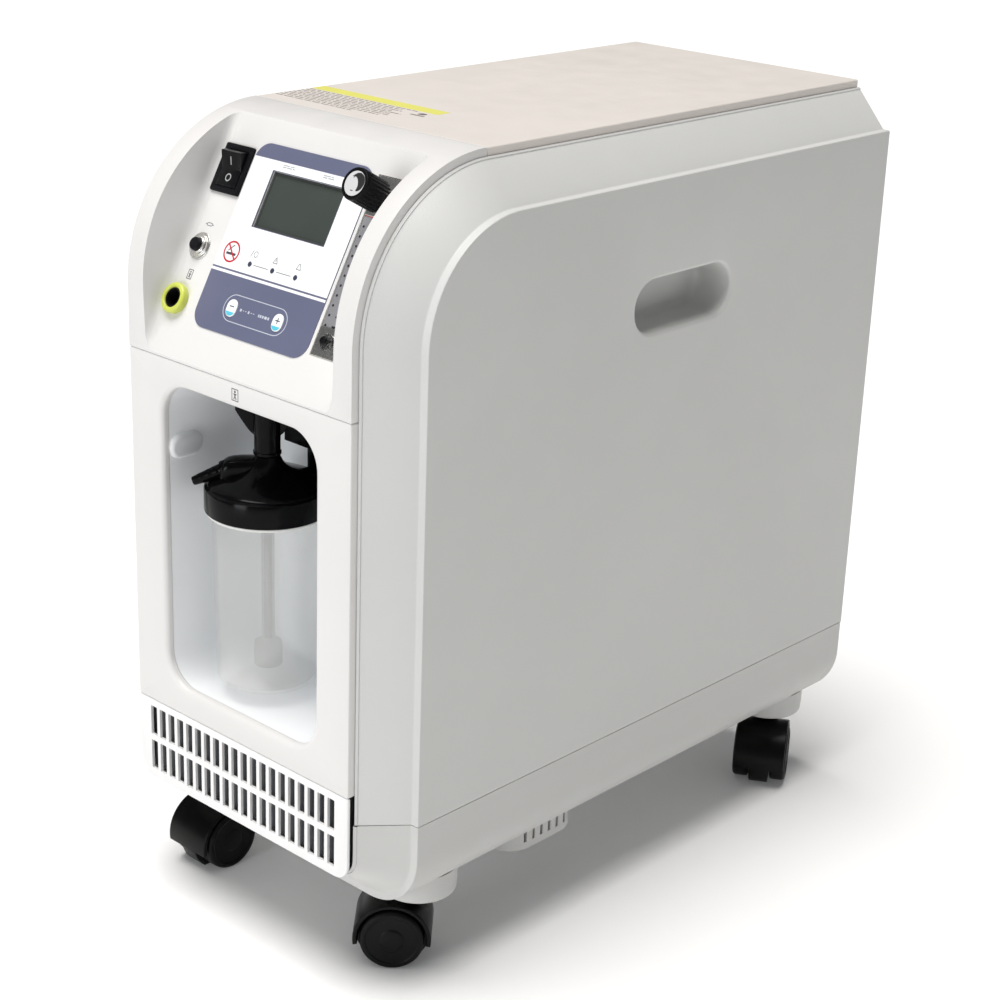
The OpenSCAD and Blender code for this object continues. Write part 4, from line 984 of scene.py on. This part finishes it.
def clear(name, colour, rough, ior, weight=1.0):
    """A clear or milky moulding: light passes through it, with faint waves in the wall."""
    material = bpy.data.materials.new(name)
    material.use_nodes = True
    nodes, links = material.node_tree.nodes, material.node_tree.links
    shader = nodes["Principled BSDF"]
    shader.inputs["Transmission Weight"].default_value = weight
    shader.inputs["IOR"].default_value = ior
    place = nodes.new("ShaderNodeTexCoord")
    waves = nodes.new("ShaderNodeTexNoise")
    waves.inputs["Scale"].default_value = 60
    waves.inputs["Detail"].default_value = 3
    links.new(place.outputs["Object"], waves.inputs["Vector"])
    tint = nodes.new("ShaderNodeValToRGB")
    tint.color_ramp.elements[0].color = (*[c * 0.97 for c in colour], 1)
    tint.color_ramp.elements[1].color = (*colour, 1)
    links.new(waves.outputs["Fac"], tint.inputs["Fac"])
    links.new(tint.outputs["Color"], shader.inputs["Base Color"])
    gloss = nodes.new("ShaderNodeMapRange")
    gloss.inputs["To Min"].default_value = max(0, rough - 0.04)
    gloss.inputs["To Max"].default_value = rough + 0.04
    links.new(waves.outputs["Fac"], gloss.inputs["Value"])
    links.new(gloss.outputs["Result"], shader.inputs["Roughness"])
    relief = nodes.new("ShaderNodeBump")
    relief.inputs["Strength"].default_value = 0.15
    relief.inputs["Distance"].default_value = 0.0003
    links.new(waves.outputs["Fac"], relief.inputs["Height"])
    links.new(relief.outputs["Normal"], shader.inputs["Normal"])
    return material


put("flow_tube_block", from_node("flow_tube", 0.5), clear("tube_acrylic", (0.95, 0.97, 0.98), 0.06, 1.49),
    "cabinet", "clear_tube", "flow_tube")
ball = lathe([(4 * math.sin(math.radians(a)), -4 * math.cos(math.radians(a))) for a in range(0, 181, 10)], 32,
             place=on_panel(tube_x, 54.3, -15))
put("flow_ball", ball, moulded("ball_red", (0.55, 0.03, 0.03), rough=0.2, grain=0.05), "float", "float_red",
    "float_ball")

knob_black = moulded("knob_black", (0.004, 0.004, 0.005), rough=0.42, grain=0.3, pitch=0.6, tone=0.1,
                     shine=0.14)
knob = bmesh.new()
knurl = []
for i in range(120):
    a = 2 * math.pi * i / 120
    dip = 0.55 if i % 5 in (0,) else (0.25 if i % 5 in (1, 4) else 0)
    knurl.append(((11.9 - dip) * math.cos(a), (11.9 - dip) * math.sin(a)))
slab(knurl, 14, 37, edge=0.3, foot=0.5, form=knob)
lathe([(0, 36.5), (11.9, 36.5), (11.9, 37.6), (11.5, 38.6), (10.6, 39), (9.3, 39), (9.0, 38.6), (0, 38.6)],
      72, knob)
lathe([(0, -9), (2.9, -9), (2.9, 15), (0, 15)], 32, knob)
put("flow_knob_grip", knob, knob_black, "knob", "black_plastic", "flow_knob", place=on_panel(80, 150))
silver = moulded("knob_silver", (0.62, 0.62, 0.63), rough=0.3, grain=0.1, pitch=0.5, tone=0.06)
printed("flow_knob_face", [disc(0, 0, 8.9, 14)], silver, 38.55, "chrome", "knob", on_panel(80, 150), 0.3)
arrow = []
for k in range(14):
    a, b = math.radians(112 - 12 * k), math.radians(112 - 12 * (k + 1))
    w0, w1 = (0.4 + 2.6 * math.sin(math.pi * t / 14) ** 0.8 for t in (k, k + 1))
    arrow.append([((5.9 - w1) * math.cos(b), (5.9 - w1) * math.sin(b)),
                  ((5.9 + w1) * math.cos(b), (5.9 + w1) * math.sin(b)),
                  ((5.9 + w0) * math.cos(a), (5.9 + w0) * math.sin(a)),
                  ((5.9 - w0) * math.cos(a), (5.9 - w0) * math.sin(a))])
arrow += stroke([(-3.6, 4.8), (-1.4, 4.8)], 0.6) + stroke([(-2.5, 3.7), (-2.5, 5.9)], 0.6)
arrow += stroke([(-1.6, -5.2), (0.6, -5.2)], 0.6)
printed("flow_knob_arrow", arrow, ink("arrow_black", (0.02, 0.02, 0.02)), 38.83, "black_plastic", "knob",
        on_panel(80, 150), 0.06)

foot_screw = lathe([(0, 0), (2.9, 0), (2.9, 1.0), (2.6, 1.4), (1.8, 1.4), (1.6, 0.8), (0, 0.8)], 32,
                   place=on_panel(69, 46, face + 2.3))
put("flowmeter_foot_screw", foot_screw, socket_black, "cabinet", "black_plastic")
foot_cap = lathe([(0, 0), (6.1, 0), (6.1, 0.8), (5.7, 1.2), (0, 1.3)], 40,
                 place=on_panel(71.6, 46, face + 1.0))
put("flowmeter_foot_cap", foot_cap, clear("cap_acrylic", (0.93, 0.94, 0.95), 0.05, 1.49), "cabinet",
    "clear_tube")

# ---------------------------------------------------------------- humidifier arm and wing nut
# A black arm bolted through the back of the niche holds the humidifier. The wing nut under it is
# captive on the lid, and two wings flare up from its neck for finger and thumb.
humid_black = moulded("humidifier_black", (0.003, 0.003, 0.0035), rough=0.13, grain=0.08, pitch=0.9,
                      tone=0.12,
                      shine=0.09)
put("humidifier_arm_casting", from_node("humidifier_arm", 2.2, 4), humid_black, "cabinet", "black_plastic",
    "humidifier_arm")
bottle_axis = Matrix.Translation((-0.023, -0.237, 0))
nut = lathe([(5.2, 386.1), (10.1, 386.1), (10.6, 386.6), (10.6, 388.4), (9.9, 389), (9.9, 401), (10.5, 403),
             (10.5, 423.4), (10, 423.9), (7.2, 423.9), (7.2, 404.1), (5.2, 404.1), (5.2, 386.1)], 48)
wing = []
for k in range(9):
    t = k / 8
    wing.append((9.4 + 14.1 * t ** 0.8, 400.5 + 19.5 * t))
wing += [(23.4, 423), (22.8, 423.6), (9.6, 423.6)]
for turn_about in (0, math.pi):
    web_of_wing = bmesh.new()
    slab(wing, -2.8, 2.8, edge=1.0, foot=1.0, steps=3, form=web_of_wing,
         place=Matrix.Rotation(math.radians(42) + turn_about, 4, "Z") @ Matrix.Rotation(math.pi / 2, 4, "X"))
    carry = bpy.data.meshes.new("wing")
    web_of_wing.to_mesh(carry)
    nut.from_mesh(carry)
    web_of_wing.free()
    bpy.data.meshes.remove(carry)
put("humidifier_wing_nut", nut, humid_black, "nut", "black_plastic", "wing_nut", place=bottle_axis)

# ---------------------------------------------------------------- humidifier lid
# The black lid screws on the bottle. Its crown rises to the gas inlet under the wing nut, and a
# hump on the crown turns into the barbed spigot where the moist oxygen leaves.
lid_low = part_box("humidifier_lid")[0][2] / mm
crown = [
    (42.3, 15.3), (42.3, 0.4), (42.8, 0), (46.7, 0), (47.4, 0.6), (47.5, 1.6), (47.4, 16.8), (46.9, 18.1),
    (45.6, 18.9), (44.6, 19.3), (44.2, 20.0), (43.0, 21.0), (39.5, 22.7), (35, 24.6), (29.5, 26.8),
    (23.5, 29.2),
    (18, 31.8), (14, 34.6), (11.8, 37.2), (10.4, 40.2), (9.4, 42.1), (8.6, 42.4), (5.0, 42.4), (4.9, 60.4),
    (2.1, 60.4), (2.1, 15.3), (42.3, 15.3),
]
lid = lathe([(r, lid_low + z) for r, z in crown], 96)
spout_turn = Matrix.Rotation(math.radians(227), 4, "Z")
hump = bmesh.new()
hump_rings = []
for reach, top, wide in ((5, 40.6, 8.0), (12, 40.8, 8.8), (19, 40.6, 9.2), (25, 40.0, 9.2), (29, 39.0, 8.9),
                         (31.8, 37.4, 8.3), (33.6, 35.0, 7.5), (34.6, 32.0, 6.4), (35.0, 28.8, 5.2)):
    foot = 20
    ring = []
    for j in range(24):
        a = 2 * math.pi * j / 24
        bulge = math.copysign(abs(math.cos(a)) ** 0.55, math.cos(a))
        rise = math.copysign(abs(math.sin(a)) ** 0.7, math.sin(a))
        middle, half = (top + foot) / 2, (top - foot) / 2
        ring.append((reach * mm, wide * bulge * mm, (lid_low + middle + half * rise) * mm))
    hump_rings.append(ring)
rows = join_rings(hump, hump_rings, closed=True)
hump.faces.new(rows[0])
hump.faces.new(rows[-1])
bmesh.ops.recalc_face_normals(hump, faces=hump.faces)
spigot_turn = (Matrix.Translation((27 * mm, 0, (lid_low + 32.0) * mm))
               @ Matrix.Rotation(math.radians(112), 4, "Y"))
spigot = [(0, -2), (7.0, -2), (7.0, 6.2), (6.6, 7.0), (5.8, 7.3), (5.4, 8.2)]
for step in range(3):
    z = 10 + 6.2 * step
    spigot += [(5.25 - 0.6 * step, z), (5.35 - 0.6 * step, z + 0.7), (5.25 - 0.6 * step, z + 1.2),
               (4.75 - 0.6 * step, z + 5.4)]
spigot += [(3.4, 29.4), (3.2, 30.2), (2.7, 30.6), (1.5, 30.6), (1.5, 20), (0, 20)]
lathe(spigot, 40, hump, spigot_turn)
hump.transform(spout_turn)
carry = bpy.data.meshes.new("hump")
hump.to_mesh(carry)
lid.from_mesh(carry)
hump.free()
bpy.data.meshes.remove(carry)
put("humidifier_lid_cap", lid, humid_black, "humidifier_head", "black_plastic", "humidifier_lid",
    place=bottle_axis)

seal_profile = [(41.9, 340.7), (45.6, 340.7), (46.1, 341.2), (46.1, 342.4), (45.7, 342.9), (41.9, 342.9),
                (41.9, 340.7)]
put("lid_seal_ring", lathe(seal_profile, 96, place=bottle_axis),
    moulded("seal_rubber", (0.82, 0.82, 0.80), rough=0.5, grain=0.2),
    "seal", "seal_white", "lid_seal")

# ---------------------------------------------------------------- humidifier bottle and stem
# The bottle is blown from milky clear polypropylene, a little narrower at its foot. The stem
# takes the gas down to the diffuser stone near the bottom.
bottle_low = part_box("humidifier_bottle")[0][2] / mm
outside = [(0, 3.2), (20, 2.8), (27, 1.4), (30, 0.3), (32.5, 0), (35.5, 0.3), (37.6, 1.3), (38.9, 3.0),
           (39.3, 5.5),
           (40.0, 30), (40.6, 60), (41.1, 100), (41.4, 128), (41.4, 153)]
inside = [(39.6, 153), (39.6, 128), (39.3, 100), (38.8, 60), (38.2, 30), (37.6, 7), (37.0, 4.6), (35.4, 2.9),
          (32.5, 2.3), (28, 3.4), (20, 4.8), (0, 5.2)]
bottle_form = lathe([(r, bottle_low + z) for r, z in outside + inside], 96, place=bottle_axis)
milky = moulded("bottle_milky", (0.96, 0.96, 0.94), rough=0.09, grain=0.15, pitch=4.0, tone=0.02)
milky.node_tree.nodes["Principled BSDF"].inputs["Alpha"].default_value = 0.13
put("humidifier_bottle_wall", bottle_form, milky, "bottle", "bottle_clear", "humidifier_bottle")
stem_milky = moulded("stem_milky", (0.80, 0.80, 0.77), rough=0.3, grain=0.3)
stem_milky.node_tree.nodes["Principled BSDF"].inputs["Alpha"].default_value = 0.16
stem_profile = [(0, 214.6), (2.5, 214.6), (10.2, 214.6), (10.9, 215.3), (10.9, 232), (10.2, 233.5),
                (6, 235.5), (5, 238),
                (5, 357.6), (3.1, 357.6), (3.1, 236), (0, 236)]
put("diffuser_stem_tube", lathe(stem_profile, 40, place=bottle_axis), stem_milky, "humidifier_head",
    "bed_white", "diffuser_stem")

# ---------------------------------------------------------------- castors
# Four 50 mm twin-wheel castors swivel on stems in the tray's bosses. Each has a moulded hood over
# the upper half of both wheels, joined by a middle web that carries the axle.
castor_black = moulded("castor_black", (0.003, 0.003, 0.003), rough=0.32, grain=0.25, pitch=0.8, tone=0.15,
                       shine=0.14)
wheel_black = moulded("wheel_black", (0.004, 0.004, 0.004), rough=0.45, grain=0.3, pitch=0.8, tone=0.15,
                      shine=0.14)
trail, axle_high = 18, 25


def arc(radius, start, stop, steps):
    """Points on an arc about the axle, in (forward, up), from one angle to another."""
    return [
        (trail + radius * math.cos(math.radians(start + (stop - start) * k / steps)),
         axle_high + radius * math.sin(math.radians(start + (stop - start) * k / steps)))
        for k in range(steps + 1)
    ]


def castor_hood():
    """The hood, its middle web, the collar, the stem and the axle."""
    upright_turn = Matrix(((1, 0, 0, 0), (0, 0, -1, 0), (0, 1, 0, 0), (0, 0, 0, 1)))
    shell = arc(30.3, -10, 190, 40) + arc(26.9, 190, -10, 36)
    hood = slab(shell, -22.6, 22.6, edge=1.1, foot=1.1, steps=4, place=upright_turn)
    web_plate = arc(29, -52, 232, 40)
    slab(web_plate, -8.6, 8.6, edge=1.0, foot=1.0, steps=3, form=hood, place=upright_turn)
    lathe([(0, 44), (8.6, 44), (8.6, 52), (10.4, 52.2), (11.8, 53), (12, 54.2), (12, 60.4), (11.4, 61.3),
           (10.4, 61.5),
           (5.4, 61.5), (5.4, 91.8), (4.6, 92), (0, 92)], 48, hood)
    lathe([(0, -20.9), (2.9, -20.9), (2.9, 20.9), (0, 20.9)], 24, hood,
          Matrix.Translation((trail * mm, 0, axle_high * mm)) @ Matrix.Rotation(math.pi / 2, 4, "X"))
    return hood


def castor_wheel_pair():
    """Two wheels, each a crowned tread with a dished outer face and a small hub cap."""
    pair = bmesh.new()
    profile = [(3.1, 9.8), (23.2, 9.8), (24.3, 10.2), (24.85, 11.2), (25, 12.6), (25, 20.2), (24.8, 21.6),
               (24.1, 22.8),
               (22.9, 23.6), (21.2, 23.9), (20.4, 23.6), (19.6, 22.9), (12.5, 22.5), (9.6, 22.8),
               (8.9, 23.4), (7.6, 23.9),
               (0, 24.1), (0, 21.3), (3.1, 21.3), (3.1, 9.8)]
    for flip in (1, -1):
        lathe([(r, flip * z) for r, z in profile], 80, pair,
              Matrix.Translation((trail * mm, 0, axle_high * mm)) @ Matrix.Rotation(math.pi / 2, 4, "X"))
    return pair


for joint in frame["record"]["behaviour"]["joints"]:
    if not joint["name"].startswith("swivel_"):
        continue
    where = joint["name"][len("swivel_"):]
    roll = next(j for j in frame["record"]["behaviour"]["joints"] if j["name"] == "roll_" + where)
    heading = Vector(roll["pos_m"]) - Vector(joint["pos_m"])
    spin = Matrix.Translation((joint["pos_m"][0], joint["pos_m"][1], 0)) @ Matrix.Rotation(
        math.atan2(heading.y, heading.x), 4, "Z")
    put("castor_hood_" + where, castor_hood(), castor_black, "castor_" + where, "castor_black",
        "castor_" + where,
        place=spin)
    put("castor_wheels_" + where, castor_wheel_pair(), wheel_black, "wheels_" + where, "castor_black",
        "wheels_" + where, place=spin)

# ---------------------------------------------------------------- works inside the cabinet
# The hidden works keep their own solids: a galvanised chassis, the cast compressor with its
# heads and crank, white sieve beds and tank, boards, the cooling coil, fan, mufflers and hoses.
galvanised = metal("galvanised_sheet", (0.60, 0.62, 0.65), 0.42, grain=0.2)
cast_alloy = metal("cast_alloy", (0.58, 0.58, 0.59), 0.5, grain=0.8)
ground_steel = metal("ground_steel", (0.55, 0.55, 0.56), 0.25, brushed=1.0)
copper = metal("drawn_copper", (0.72, 0.40, 0.25), 0.28)
rubber = moulded("foot_rubber", (0.03, 0.03, 0.03), rough=0.75, grain=0.8, pitch=0.8, tone=0.2)
canister = moulded("canister_white", (0.78, 0.79, 0.80), rough=0.5, grain=0.4)
winding = moulded("housing_black", (0.045, 0.045, 0.05), rough=0.5, grain=0.5, tone=0.2)
board = moulded("board_green", (0.03, 0.20, 0.09), rough=0.35, grain=0.3, pitch=2.0, tone=0.25)
hose_clear = clear("hose_silicone", (0.82, 0.86, 0.88), 0.35, 1.41, 0.6)
works = {
    "chassis": galvanised, "compressor_crankcase": cast_alloy, "compressor_heads": cast_alloy,
    "compressor_shaft": ground_steel, "compressor_mounts": rubber, "sieve_beds": canister,
    "product_tank": canister, "valve_block": cast_alloy, "solenoid_coils": winding,
    "cooling_fan_frame": winding, "fan_impeller": winding, "cooling_coil": copper, "power_board": board,
    "control_board": board, "gas_hoses": hose_clear, "intake_muffler": winding, "exhaust_muffler": winding,
}
for node, finish in works.items():
    mesh = frame["nodes"][node].data
    mesh.materials.clear()
    mesh.materials.append(finish)
